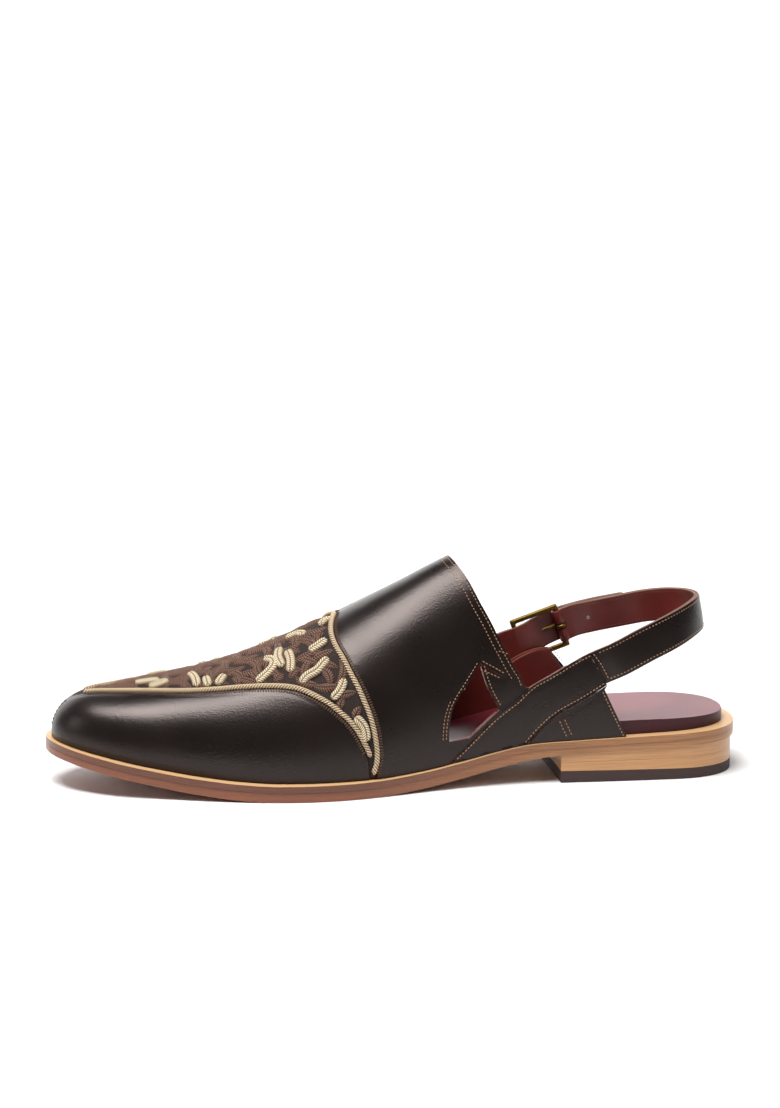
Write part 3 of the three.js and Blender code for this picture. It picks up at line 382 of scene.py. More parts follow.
def edge_distance(points, loops):
    """Real distance of flat points to the nearest edge of the loops."""
    share = girth_share(points[:, 0])
    best = np.full(len(points), 1e9)
    for loop in loops:
        for a, b in zip(loop, np.roll(loop, -1, axis=0)):
            d = b - a
            t = np.clip(((points - a) @ d) / (d @ d + 1e-12), 0, 1)
            gap = points - a - t[:, None] * d
            best = np.minimum(best, np.hypot(gap[:, 0], gap[:, 1] * share))
    return best


def leave_edit():
    if bpy.context.object and bpy.context.object.mode != "OBJECT":
        bpy.ops.object.mode_set(mode="OBJECT")


def only(piece):
    """Makes one piece the selected and active one."""
    leave_edit()
    bpy.ops.object.select_all(action="DESELECT")
    piece.hide_set(False)
    piece.select_set(True)
    bpy.context.view_layer.objects.active = piece


def finish_with(piece, kind, **settings):
    """Adds a modifier to a piece and applies it."""
    only(piece)
    modifier = piece.modifiers.new(kind.lower(), kind)
    for name, value in settings.items():
        setattr(modifier, name, value)
    bpy.ops.object.modifier_apply(modifier=modifier.name)


def places(piece):
    co = np.empty(len(piece.data.vertices) * 3)
    piece.data.vertices.foreach_get("co", co)
    return co.reshape(-1, 3)


def put(piece, co):
    piece.data.vertices.foreach_set("co", np.asarray(co, float).ravel())
    piece.data.update()


def new_piece(name, vertices, faces, *materials):
    mesh = bpy.data.meshes.new(name)
    mesh.from_pydata([tuple(v) for v in vertices], [], [tuple(f) for f in faces])
    piece = bpy.data.objects.new(name, mesh)
    bpy.context.scene.collection.objects.link(piece)
    for material in materials:
        mesh.materials.append(material)
    only(piece)
    bpy.ops.object.shade_smooth()
    return piece


def cut_leather(name, loops, low, high, materials, spacing=1.8, edge_round=0.35, dips=()):
    """A piece of leather: cut flat to its outline, given its thickness and round edges, and drawn
    over the last between two heights. Dips are (distance from the edge, depth, width)."""
    corners = np.vstack(loops)
    edges = []
    for loop in loops:
        start = len(edges)
        edges += [(start + i, start + (i + 1) % len(loop)) for i in range(len(loop))]
    lowest, highest = corners.min(0), corners.max(0)
    xs = np.arange(lowest[0], highest[0], spacing)
    ys = np.arange(lowest[1], highest[1], spacing)
    grid = np.stack(np.meshgrid(xs, ys, indexing="ij"), -1).reshape(-1, 2)
    grid = grid[inside(grid, loops)]
    grid = grid[edge_distance(grid, loops) > 0.55 * spacing]
    points = [Vector(p) for p in np.vstack([corners, grid])]
    found = geometry.delaunay_2d_cdt(points, edges, [], 0, 1e-4)
    flat_points = np.array([tuple(p) for p in found[0]])
    faces = np.array([f for f in found[2] if len(f) == 3])
    faces = faces[inside(flat_points[faces].mean(1), loops)]
    used, index = np.unique(faces, return_inverse=True)
    vertices = [(x, y, 0) for x, y in flat_points[used]]
    piece = new_piece(name, vertices, index.reshape(-1, 3), *materials)
    thickness = high - low
    finish_with(piece, "SOLIDIFY", thickness=thickness, offset=1)
    if edge_round:
        finish_with(piece, "BEVEL", width=edge_round, segments=2, limit_method="ANGLE", angle_limit=math.radians(55))
    co = places(piece)
    z = co[:, 2] - co[:, 2].min()
    if len(materials) > 1:
        for face in piece.data.polygons:
            face.material_index = 1 if abs(face.normal.z) < 0.75 else 0
    height = low + z
    if dips:
        gap = edge_distance(co[:, :2], loops)
        for distance, depth, width in dips:
            height = height - np.where(z > thickness * 0.5, depth * np.exp(-(((gap - distance) / width) ** 2)), 0)
    place, _ = drape(co[:, :2], height)
    put(piece, place)
    finish_with(piece, "WEIGHTED_NORMAL", mode="FACE_AREA", weight=50)
    return piece


def stitch_rows(name, rows, material, pitch, length, thread, whipped=False):
    """Stitches along rows of (places, outward directions): one stitch is modelled and copied.
    Whipped ones lie across their row."""
    leave_edit()
    bpy.ops.object.select_all(action="DESELECT")
    bpy.ops.mesh.primitive_uv_sphere_add(segments=6, ring_count=5, radius=1)
    stitch = bpy.context.object
    shape = places(stitch)[:, [2, 0, 1]] * (length / 2, thread / 2, thread / 2)
    shape[:, 2] -= 0.5 * thread * (shape[:, 0] / (length / 2)) ** 4
    polygons = [list(p.vertices) for p in stitch.data.polygons]
    bpy.data.objects.remove(stitch)
    vertices, faces = [], []
    for place, out in rows:
        chord = np.concatenate([[0], np.linalg.norm(np.diff(place, axis=0), axis=1).cumsum()]) / MM
        goals = np.arange(pitch / 2, chord[-1] - length / 2, pitch)
        middle = np.stack([np.interp(goals, chord, place[:, k]) for k in range(3)], 1)
        ahead = np.stack([np.interp(goals + length / 2, chord, place[:, k]) for k in range(3)], 1)
        back = np.stack([np.interp(goals - length / 2, chord, place[:, k]) for k in range(3)], 1)
        up = np.stack([np.interp(goals, chord, out[:, k]) for k in range(3)], 1)
        along = ahead - back
        along /= np.linalg.norm(along, axis=1)[:, None]
        aside = np.cross(up, along)
        aside /= np.linalg.norm(aside, axis=1)[:, None]
        up = np.cross(along, aside)
        if whipped:
            along, aside = aside, -along
        for m, a, b, c in zip(middle, along, aside, up):
            faces += [[len(vertices) + i for i in p] for p in polygons]
            vertices += list(m + MM * (shape[:, :1] * a + shape[:, 1:2] * b + shape[:, 2:] * c))
    return new_piece(name, vertices, faces, material)


# The sole has a leather outsole and a welt over it that stands out round the forepart. Both edges
# are burnished: brown at the toe, lighter at the heel. The welt's top is natural leather.
def grain_bump(tree, shader, coordinates, distance, strength, size_mm, detail=3.0):
    """Fine bump from noise whose grain has a real size."""
    noise = node(tree, "ShaderNodeTexNoise", None, {
        "Vector": coordinates, "Scale": 1 / (size_mm * MM), "Detail": detail, "Roughness": 0.6,
    })
    bump = node(tree, "ShaderNodeBump", None, {
        "Height": noise.outputs["Fac"], "Distance": distance * MM, "Strength": strength,
    })
    tree.links.new(bump.outputs["Normal"], shader.inputs["Normal"])
    return bump


def burnished_edge(name, toe_color, heel_color, line_color, line_mm):
    """Waxed edge of sole leather: layers of fine lines along the sole, darker towards the toe."""
    material, tree, shader = surface(name, toe_color, 0.38, **{"Coat Weight": 0.25, "Coat Roughness": 0.3})
    place = node(tree, "ShaderNodeTexCoord").outputs["Object"]
    split = node(tree, "ShaderNodeSeparateXYZ", None, {0: place})
    along = node(tree, "ShaderNodeMapRange", None, {
        "Value": split.outputs["X"], "From Min": -0.02, "From Max": 0.09,
    })
    base = node(tree, "ShaderNodeMix", {"data_type": "RGBA"}, {
        0: along.outputs[0], 6: linear(toe_color), 7: linear(heel_color),
    })
    stretch = node(tree, "ShaderNodeMapping", None, {
        "Vector": place, "Scale": (0.012 / (line_mm * MM), 0.012 / (line_mm * MM), 1 / (line_mm * MM)),
    })
    lines = node(tree, "ShaderNodeTexNoise", None, {
        "Vector": stretch.outputs[0], "Scale": 1.0, "Detail": 4.0, "Roughness": 0.65,
    })
    ramp = node(tree, "ShaderNodeMapRange", None, {
        "Value": lines.outputs["Fac"], "From Min": 0.35, "From Max": 0.7, "To Max": 0.65,
    })
    mixed = node(tree, "ShaderNodeMix", {"data_type": "RGBA"}, {
        0: ramp.outputs[0], 6: base.outputs[2], 7: linear(line_color),
    })
    tree.links.new(mixed.outputs[2], shader.inputs["Base Color"])
    bump = node(tree, "ShaderNodeBump", None, {
        "Height": lines.outputs["Fac"], "Distance": 0.05 * MM, "Strength": 0.5,
    })
    tree.links.new(bump.outputs["Normal"], shader.inputs["Normal"])
    return material


welt_edge = burnished_edge("burnished_welt_edge", "#6f3c23", "#ad7646", "#482413", 0.4)
sole_edge = burnished_edge("burnished_sole_edge", "#8c4e2d", "#b57f4e", "#5c311b", 0.4)

# vegetable-tanned leather, smooth and matte, pale tan
natural_leather, tree, shader = surface("natural_sole_leather", "#d3a878", 0.5)
place = node(tree, "ShaderNodeTexCoord").outputs["Object"]
grain_bump(tree, shader, place, 0.06, 0.5, 0.7)


def stations(count, start, end):
    """Shares of the length from start to end, closer together at both ends."""
    t = np.linspace(0, 1, count + 1)
    dense = (1 - np.cos(math.pi * t)) / 2
    return start + (end - start) * (0.55 * dense + 0.45 * t**1.0)


def slab(name, places_at, edge, low, high, materials, rim, columns=8):
    """A layer of the sole between two heights inside an outline, with rims rounded by rim mm."""
    leave_edit()
    bpy.ops.object.select_all(action="DESELECT")
    rows = len(places_at) - 1
    bpy.ops.mesh.primitive_grid_add(x_subdivisions=rows, y_subdivisions=columns, size=2)
    piece = bpy.context.object
    piece.name = name
    piece.data.name = name
    for material in materials:
        piece.data.materials.append(material)
    finish_with(piece, "SOLIDIFY", thickness=1, offset=1)
    co = places(piece)
    at = places_at[np.clip(np.rint((1 - co[:, 0]) / 2 * rows).astype(int), 0, rows)]
    side = (co[:, 1] + 1) / 2
    upper = co[:, 2] > co[:, 2].mean()
    lateral, medial = edge(at)
    y = lateral + (medial - lateral) * side
    put(piece, np.stack([LENGTH / 2 - at * LENGTH, y, np.where(upper, high(at), low(at))], 1) * MM)
    if len(materials) > 1:
        for face in piece.data.polygons:
            face.material_index = 0 if face.normal.z > 0.8 else 1
    finish_with(piece, "BEVEL", width=rim * MM, segments=3, limit_method="ANGLE", angle_limit=math.radians(50))
    bpy.ops.object.shade_smooth()
    finish_with(piece, "WEIGHTED_NORMAL", mode="FACE_AREA", weight=50)
    return piece


SOLE_STATIONS = stations(150, 0.0002, 0.9998)
OUTSOLE_STEP = 0.4
welt = slab(
    "welt_leather", SOLE_STATIONS, lambda at: outline(at, 0, 0, 1), lambda at: outsole_top(at) + 0.1, welt_top,
    [natural_leather, welt_edge], 0.6,
)
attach(welt, "root")
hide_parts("welt")
outsole = slab(
    "outsole_leather", SOLE_STATIONS, lambda at: outline(at, OUTSOLE_STEP, 0, 1), underside, outsole_top,
    [sole_edge, sole_edge], 0.7,
)
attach(outsole, "root")
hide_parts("outsole")

# The heel is built of two tan leather lifts with a straight breast, glued on a dark rubber top
# piece. Fine layers show on the lifts' trimmed edges.
HEEL_LENGTH, TOP_PIECE, HEEL_INSET = 82.3, 5.2, 1.1
heel_stations = stations(60, 0.0002 + HEEL_INSET / LENGTH, HEEL_LENGTH / LENGTH)
stacked_edge = burnished_edge("stacked_heel_leather", "#c58d5b", "#cb9764", "#9a683e", 0.3)
# vulcanised rubber, moulded, dark brown and dull
top_rubber, tree, shader = surface("heel_rubber", "#3b2a28", 0.72)
place = node(tree, "ShaderNodeTexCoord").outputs["Object"]
grain_bump(tree, shader, place, 0.08, 0.6, 0.8)


def heel_edge(at):
    return outline(at, HEEL_INSET)


def top_piece_top(at):
    return TOP_PIECE * (0.87 + 0.13 * at / (HEEL_LENGTH / LENGTH))


def lift_seam(at):
    front = (TOP_PIECE + HEEL_HEIGHT) / 2
    rear = (TOP_PIECE * 0.87 + HEEL_HEIGHT * 1.236) / 2
    return rear + (front - rear) * at / (HEEL_LENGTH / LENGTH)


for name, nodes, low, high, finish in (
    ("heel_top_piece_rubber", "heel_top_piece", lambda at: 0 * at, top_piece_top, top_rubber),
    ("heel_lift_lower_leather", "heel_lift_lower", top_piece_top, lift_seam, stacked_edge),
    ("heel_lift_upper_leather", "heel_lift_upper", lift_seam, lambda at: underside(at) - 0.05, stacked_edge),
):
    layer = slab(name, heel_stations, heel_edge, low, high, [finish], 0.4)
    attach(layer, "root")
    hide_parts(nodes)

# The insole is covered in glossy burgundy leather that is folded over its edge and glued under it.
# It lies open to view at the heel.
INSOLE = 6.4
INSOLE_TAPER = [(0, 0.73), (0.1, 0.9), (0.2, 1), (0.3, 0.87), (0.4, 0.7), (0.5, 0.56), (0.7, 0.5), (1, 0.47)]
insole_taper = steady(INSOLE_TAPER)
# aniline calf, polished: the colour pools and clears in soft clouds
insole_calf, tree, shader = surface("burgundy_calf", "#6c2630", 0.38, **{"Specular IOR Level": 0.22})
place = node(tree, "ShaderNodeTexCoord").outputs["Object"]
clouds = node(tree, "ShaderNodeTexNoise", None, {"Vector": place, "Scale": 45.0, "Detail": 5.0})
shade = node(tree, "ShaderNodeMix", {"data_type": "RGBA"}, {
    0: clouds.outputs["Fac"], 6: linear("#601f29"), 7: linear("#7e333d"),
})
tree.links.new(shade.outputs[2], shader.inputs["Base Color"])
grain_bump(tree, shader, place, 0.05, 0.5, 0.6)
# the same calf folded over the insole's edge, painted darker as shade on its upright side
insole_shaded_side, tree, shader = surface("burgundy_calf_shaded_edge", "#3d141c", 0.4, **{"Specular IOR Level": 0.3})
place = node(tree, "ShaderNodeTexCoord").outputs["Object"]
grain_bump(tree, shader, place, 0.05, 0.5, 0.6)


def insole_edge(at):
    return outline(at, WELT_MARGIN * margin_taper(at) + BUILD + 2 * FIT, insole_start, insole_end)


insole_start = BACK + 2 * FIT / LENGTH
insole_end = TIP - 2 * FIT / LENGTH
insole = slab(
    "insole_calf", stations(130, insole_start + 0.0002, insole_end - 0.0002), insole_edge,
    lambda at: welt_top(at) + 0.1, lambda at: welt_top(at) + INSOLE * insole_taper(at),
    [insole_calf, insole_shaded_side], 1.0,
)
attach(insole, "root")
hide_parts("insole")

# The lines that the upper's pieces are cut to, as (at, across) rows. The medial side mirrors them.
WING_LINE = [
    (0.5517, 0.0496), (0.5585, 0.0809), (0.5678, 0.1152), (0.5808, 0.1531), (0.5937, 0.179), (0.6064, 0.2031),
    (0.6191, 0.223), (0.6318, 0.2414), (0.6446, 0.2583), (0.671, 0.2807), (0.698, 0.2957), (0.7392, 0.3116),
    (0.781, 0.3245), (0.8506, 0.3625), (0.9205, 0.4296), (0.942, 0.461), (0.952, 0.5),
]
BAND_LINE = [
    (0.549, 0), (0.5475, 0.0239), (0.5446, 0.0432), (0.5443, 0.0727), (0.5466, 0.11), (0.5502, 0.1427),
    (0.555, 0.1733), (0.5609, 0.2045), (0.5677, 0.2391), (0.5755, 0.2751), (0.5815, 0.3102), (0.5875, 0.3424),
    (0.5917, 0.3781), (0.5915, 0.4243), (0.5862, 0.4689), (0.581, 0.5),
]
STRAP_TOP = [
    (0.4295, 0.0124), (0.3921, 0.0548), (0.3626, 0.0859), (0.3332, 0.1118), (0.3184, 0.1307),
    (0.2892, 0.1534), (0.26, 0.1774), (0.231, 0.1992),
]
STRAP_FOOT = [
    (0.4285, 0), (0.385, 0), (0.35, 0), (0.323, 0), (0.2968, 0.041), (0.275, 0.0662), (0.2461, 0.0884),
    (0.2072, 0.1235),
]
COLLAR = [
    (0.3184, 0.1307), (0.3242, 0.1345), (0.3299, 0.1523), (0.3397, 0.1829), (0.3494, 0.2158), (0.3601, 0.2538),
    (0.3729, 0.3042), (0.3853, 0.3506), (0.3966, 0.4001), (0.407, 0.4427), (0.4145, 0.48), (0.4165, 0.5),
]
QUARTER_END = [(0.1779, 0), (0.1884, 0.0355), (0.2001, 0.0764), (0.2101, 0.1122)]
STRAP_TOP_MEDIAL = [*STRAP_TOP[:6], (0.272, 0.159), (0.2553, 0.1585)]
STRAP_FOOT_MEDIAL = [*STRAP_FOOT[:6], (0.252, 0.0835), (0.2308, 0.1075)]
QUARTER_END_MEDIAL = [(0.1779, 0), (0.1975, 0.0355), (0.2155, 0.0764), (0.2335, 0.1)]
WINDOW_FRONT = [(0.3899, 0.213), (0.413, 0.1684), (0.4269, 0.1403), (0.4349, 0.1091), (0.4384, 0.0544)]
WINDOW_REAR = [(0.388, 0.2055), (0.3766, 0.1422), (0.3625, 0.095), (0.385, 0.0725), (0.407, 0.05)]
NOTCH_TIP = (0.3574, 0.171)


def whole(rows, inset=0.0):
    """A line from the lateral side over the ridge to the medial side, moved beside itself."""
    half = beside(line(rows), inset)
    return np.vstack([half, other_side(half)[1:]])


window = joined(
    line(WINDOW_FRONT),
    line([WINDOW_FRONT[-1], WINDOW_REAR[-1]]),
    line(WINDOW_REAR[2:][::-1]),
    line(WINDOW_REAR[:3][::-1]),
    line([WINDOW_REAR[0], NOTCH_TIP]),
    line([NOTCH_TIP, WINDOW_FRONT[0]]),
)
WINDOW_SHIFT = np.array([-6.0, 0.0])
medial_window = other_side(window) + WINDOW_SHIFT


# The lining is the hollow shell of thin red-brown leather that the outer pieces are sewn to. It is
# open at the collar and the windows, and shows inside the shoe.
# calf lining, dyed through and lightly glazed
lining_calf, tree, shader = surface("lining_calf", "#4e1e1b", 0.36, **{"Specular IOR Level": 0.35})
place = node(tree, "ShaderNodeTexCoord").outputs["Object"]
clouds = node(tree, "ShaderNodeTexNoise", None, {"Vector": place, "Scale": 60.0, "Detail": 5.0})
shade = node(tree, "ShaderNodeMix", {"data_type": "RGBA"}, {
    0: clouds.outputs["Fac"], 6: linear("#4d1c18"), 7: linear("#7c3028"),
})
tree.links.new(shade.outputs[2], shader.inputs["Base Color"])
grain_bump(tree, shader, place, 0.06, 0.5, 0.6)

toe_end = (TIP - 0.00001, 0.0)
lining_outline = joined(
    line([QUARTER_END[0], (0.5, 0), toe_end]),
    line([toe_end, (TIP - 0.00001, 1.0)], 4),
    other_side(line([QUARTER_END_MEDIAL[0], (0.5, 0), toe_end])),
    (line(QUARTER_END_MEDIAL) * (1, -1)),
    line([QUARTER_END_MEDIAL[-1], STRAP_TOP_MEDIAL[-1]]) * (1, -1),
    line(STRAP_TOP_MEDIAL[4:])[::-1] * (1, -1),
    (line(COLLAR) * (1, -1)),
    line(COLLAR)[::-1],
    line([STRAP_TOP[4], STRAP_TOP[5], (0.264, 0.174)]),
    line([(0.264, 0.174), (0.2472, 0.0925)]),
    line([(0.2472, 0.0925), QUARTER_END[-1]]),
    line(QUARTER_END)[::-1],
)
lining = cut_leather("upper_lining", [lining_outline, window, medial_window], 0, LAYER - 0.1, [lining_calf], 2.2, 0.3)
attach(lining, "root")
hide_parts("upper")


# The wings are polished dark leather round the toe, butted on its centre line. Their upper edge is
# turned under the piping and held by a row of small stitches.
# box calf, black-brown, glazed: a fine even grain under a high polish
dark_calf, tree, shader = surface("dark_box_calf", "#16110f", 0.3, **{
    "Specular IOR Level": 0.42, "Specular Tint": linear("#fbeae4"),
})
place = node(tree, "ShaderNodeTexCoord").outputs["Object"]
pores = node(tree, "ShaderNodeTexVoronoi", None, {"Vector": place, "Scale": 1 / (0.75 * MM)})
tones = node(tree, "ShaderNodeTexNoise", None, {"Vector": place, "Scale": 38.0, "Detail": 2.0})
shade = node(tree, "ShaderNodeMix", {"data_type": "RGBA"}, {
    0: tones.outputs["Fac"], 6: linear("#120d0c"), 7: linear("#1c1513"),
})
tree.links.new(shade.outputs[2], shader.inputs["Base Color"])
gloss = node(tree, "ShaderNodeMapRange", None, {
    "Value": tones.outputs["Fac"], "From Min": 0.3, "From Max": 0.7, "To Min": 0.26, "To Max": 0.31,
})
tree.links.new(gloss.outputs[0], shader.inputs["Roughness"])
fine = node(tree, "ShaderNodeBump", None, {
    "Height": pores.outputs["Distance"], "Distance": 0.06 * MM, "Strength": 0.7,
})
soft = node(tree, "ShaderNodeBump", None, {
    "Height": tones.outputs["Fac"], "Distance": 0.3 * MM, "Strength": 0.3, "Normal": fine.outputs["Normal"],
})
tree.links.new(soft.outputs["Normal"], shader.inputs["Normal"])
# the same leather where it is cut: dyed red-brown and waxed
cut_edge, tree, shader = surface("dyed_leather_edge", "#6b432f", 0.5)
place = node(tree, "ShaderNodeTexCoord").outputs["Object"]
grain_bump(tree, shader, place, 0.1, 0.7, 0.5)

HALF_PIPING = PIPING / 2 + FIT
wing_top = beside(line(WING_LINE), HALF_PIPING)
seam = 0.15
wing_outline = joined(
    line([(0.5546, 0), (0.75, 0), toe_end]),
    line([toe_end, (TIP - 0.00001, 0.5)], 4) + (0, -seam),
    line([(TIP - 0.00001, 0.5), (0.957, 0.5)]) + (0, -seam),
    wing_top[::-1],
)
STITCH_DIP = (1.5, 0.12, 0.55)
for name, outline_points, replaced in (
    ("wing_calf_lateral", wing_outline, "wing_lateral"),
    ("wing_calf_medial", other_side(wing_outline), "wing_medial"),
):
    wing = cut_leather(name, [outline_points], LAYER, BUILD, [dark_calf, cut_edge], 1.6, 0.4, [STITCH_DIP])
    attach(wing, "root")
    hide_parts(replaced)

# waxed polyester thread, dark brown, and tan for the edges that are meant to show
dark_thread, _, _ = surface("waxed_dark_thread", "#503627", 0.55)
tan_thread, _, _ = surface("waxed_tan_thread", "#a67a56", 0.5)
wing_row = beside(line(WING_LINE), HALF_PIPING + 0.5)[4:-10]
toe_row = line([(0.962, 0.5), (TIP - 0.0006, 0.5)], 0.8)
rows = []
for points in (wing_row, other_side(wing_row)):
    rows.append(drape(points, np.full(len(points), BUILD)))
wing_whipping = stitch_rows("wing_whipping", rows, dark_thread, 1.15, 2.0, 0.75, True)
rows = [drape(toe_row + (0, gap), np.full(len(toe_row), BUILD)) for gap in (-3.0, 3.0)]
toe_stitches = stitch_rows("toe_seam_stitches", rows, dark_thread, 1.9, 1.5, 0.6)
for stitches in (wing_whipping, toe_stitches):
    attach(stitches, "root")

# The vamp insert is a dark brown ground of thick cord work between the pipings. Padded leaves of
# braid are sewn over it: brown ones all over, and gold ones scattered on top.
# cotton cord, couched close together
cord_ground, tree, shader = surface("brown_cord_ground", "#3a2720", 0.85)
place = node(tree, "ShaderNodeTexCoord").outputs["Object"]
tufts = node(tree, "ShaderNodeTexNoise", None, {"Vector": place, "Scale": 1 / (1.6 * MM), "Detail": 5.0})
shade = node(tree, "ShaderNodeMix", {"data_type": "RGBA"}, {
    0: tufts.outputs["Fac"], 6: linear("#120a08"), 7: linear("#32201a"),
})
tree.links.new(shade.outputs[2], shader.inputs["Base Color"])
grain_bump(tree, shader, place, 0.5, 0.8, 1.0)
def insert_outline(lap):
    """The insert's outline, running under the pipings by the lap."""
    front = np.vstack([flat([(0.554, 0.002)]), beside(line(WING_LINE), lap)])
    rear = beside(line(BAND_LINE), -lap)
    return joined(front, other_side(front)[1:], other_side(rear)[::-1], rear[::-1])


vamp_outline = insert_outline(-0.6)
vamp = cut_leather("vamp_ground", [insert_outline(1.2)], LAYER, LAYER + 0.7 * LEATHER, [cord_ground], 1.8, 0.0)
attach(vamp, "root")
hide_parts("vamp_panel")


def shaded_braid(name, light, dark, pitch_mm):
    """Flat braid of twisted thread: slanting strands that meet in a chevron along the middle, with painted shade
    that darkens the thread between the strands, along the middle and towards the edges. The UV map runs in
    millimetres along the braid and from -1 to 1 across it."""
    material, tree, shader = surface(name, light, 0.6, **{"Specular IOR Level": 0.3})
    uv = node(tree, "ShaderNodeUVMap", {"uv_map": "braid"})
    split = node(tree, "ShaderNodeSeparateXYZ", None, {0: uv.outputs[0]})
    aside = node(tree, "ShaderNodeMath", {"operation": "ABSOLUTE"}, {0: split.outputs["Y"]})
    slant = node(tree, "ShaderNodeMath", {"operation": "MULTIPLY"}, {0: aside.outputs[0], 1: 1.3})
    path = node(tree, "ShaderNodeMath", {"operation": "SUBTRACT"}, {0: split.outputs["X"], 1: slant.outputs[0]})
    phase = node(tree, "ShaderNodeMath", {"operation": "MULTIPLY"}, {0: path.outputs[0], 1: 2 * math.pi / pitch_mm})
    wave = node(tree, "ShaderNodeMath", {"operation": "SINE"}, {0: phase.outputs[0]})
    strand = node(tree, "ShaderNodeMapRange", None, {"Value": wave.outputs[0], "From Min": -1.0, "From Max": 0.3})
    middle = node(tree, "ShaderNodeMapRange", None, {"Value": aside.outputs[0], "From Min": 0.04, "From Max": 0.16})
    edge = node(tree, "ShaderNodeMapRange", None, {"Value": aside.outputs[0], "From Min": 1.0, "From Max": 0.8})
    relief_and_painted_shade = node(tree, "ShaderNodeMath", {"operation": "MULTIPLY"}, {0: strand.outputs[0], 1: middle.outputs[0]})
    relief_and_painted_shade = node(tree, "ShaderNodeMath", {"operation": "MULTIPLY"}, {0: relief_and_painted_shade.outputs[0], 1: edge.outputs[0]})
    # painted shade: the thread colour darkens to the dark one between the strands, along the middle seam and towards
    # the edges
    shade = node(tree, "ShaderNodeMix", {"data_type": "RGBA"}, {
        0: relief_and_painted_shade.outputs[0], 6: linear(dark), 7: linear(light),
    })
    tree.links.new(shade.outputs[2], shader.inputs["Base Color"])
    bump = node(tree, "ShaderNodeBump", None, {"Height": relief_and_painted_shade.outputs[0], "Distance": 0.25 * MM, "Strength": 0.8})
    tree.links.new(bump.outputs["Normal"], shader.inputs["Normal"])
    return material


# each braid's thread colour, then the darker colour of its painted shade
gold_braid = shaded_braid("gold_braid", "#e8dab8", "#6e5038", 1.0)
brown_braid = shaded_braid("brown_braid", "#84604e", "#180d0a", 1.0)


def leaf_pieces(name, leaves, material, width, rise, base, pointed):
    """Leaves of braid, sewn along smooth flat lines."""
    length_steps, width_steps = (20, 8) if pointed else (26, 10)
    vertices, faces, uvs = [], [], []
    for points in leaves:
        real = np.array([1, girth_share(points[:1, 0])[0]])
        chord = np.concatenate([[0], np.linalg.norm(np.diff(points * real, axis=0), axis=1).cumsum()])
        goals = np.linspace(0, chord[-1], length_steps + 1)
        middle = np.stack([np.interp(goals, chord, points[:, k]) for k in (0, 1)], 1) * real
        travel = np.gradient(middle, axis=0)
        travel /= np.linalg.norm(travel, axis=1)[:, None]
        first = len(vertices)
        flats, heights = [], []
        for i in range(length_steps + 1):
            t = i / length_steps
            across = np.array([-travel[i, 1], travel[i, 0]])
            if pointed:
                fullness = math.sin(math.pi * (0.03 + 0.94 * t)) ** 0.9
            else:
                ends = min(t * chord[-1] / width, (1 - t) * chord[-1] / width, 0.5)
                fullness = math.sqrt(1 - (1 - 2 * ends) ** 2)
            half = max(width / 2 * fullness, 0.02)
            for j in range(width_steps + 1):
                w = 2 * j / width_steps - 1
                flats.append((middle[i] + across * w * half) / real)
                crown = max(1 - abs(w) ** (1.5 if pointed else 2.6), 0) ** (0.9 if pointed else 0.5)
                crown *= 1 - 0.34 * math.exp(-((w / 0.18) ** 2))
                heights.append(base + rise * crown * (half / (width / 2)) ** 0.6)
                uvs.append((goals[i], w))
        place, _ = drape(np.array(flats), np.array(heights))
        under, _ = drape(np.array(flats), np.full(len(flats), base - 0.6))
        size = len(flats)
        vertices += list(place) + list(under)
        columns = width_steps + 1
        for i in range(length_steps):
            for j in range(width_steps):
                a = first + i * columns + j
                faces.append((a, a + columns, a + columns + 1, a + 1))
                b = a + size
                faces.append((b, b + 1, b + columns + 1, b + columns))
        rim = [first + j for j in range(columns)]
        rim += [first + i * columns + width_steps for i in range(1, length_steps + 1)]
        rim += [first + length_steps * columns + j for j in range(width_steps - 1, -1, -1)]
        rim += [first + i * columns for i in range(length_steps - 1, 0, -1)]
        for a, b in zip(rim, rim[1:] + rim[:1]):
            faces.append((a, b, b + size, a + size))
        uvs += uvs[-size:]
    piece = new_piece(name, vertices, faces, material)
    layer = piece.data.uv_layers.new(name="braid")
    for loop in piece.data.loops:
        layer.data[loop.index].uv = uvs[loop.vertex_index]
    only(piece)
    bpy.ops.object.mode_set(mode="EDIT")
    bpy.ops.mesh.select_all(action="SELECT")
    bpy.ops.mesh.normals_make_consistent(inside=False)
    bpy.ops.object.mode_set(mode="OBJECT")
    return piece


# (at, across) rows along each leaf of the lateral side
GOLD_LEAVES = [
    [(0.6519, 0.4787), (0.6399, 0.479), (0.6268, 0.4473)],
    [(0.6016, 0.4541), (0.5954, 0.472), (0.5872, 0.469)],
    [(0.6255, 0.3679), (0.6125, 0.3757), (0.5992, 0.3868)],
    [(0.7019, 0.3097), (0.6889, 0.3306), (0.6771, 0.3542), (0.6781, 0.3898), (0.6882, 0.4029)],
    [(0.6627, 0.4302), (0.6677, 0.3875), (0.6637, 0.3423)],
    [(0.6539, 0.4007), (0.6517, 0.353), (0.6549, 0.3158)],
    [(0.6423, 0.2721), (0.6326, 0.2907), (0.6186, 0.301), (0.6099, 0.3154), (0.6009, 0.3261)],
    [(0.6035, 0.2148), (0.5916, 0.2339), (0.5846, 0.2616)],
    [(0.574, 0.1606), (0.5625, 0.1343), (0.5592, 0.0969)],
    [(0.7924, 0.4523), (0.7855, 0.3934), (0.7844, 0.3435)],
    [(0.7709, 0.3926), (0.7686, 0.3337)],
    [(0.7557, 0.3327), (0.7495, 0.3607), (0.7435, 0.3788)],
    [(0.8516, 0.3857), (0.8368, 0.4012), (0.8234, 0.423)],
    [(0.8705, 0.4496), (0.8543, 0.4485), (0.8353, 0.4387)],
]
RIDGE = 0.44
gold = []
for row in GOLD_LEAVES:
    leaf_line = line(row, 0.5)
    gold.append(leaf_line)
    if max(across for _, across in row) < RIDGE:
        gold.append(leaf_line * (1, -1))
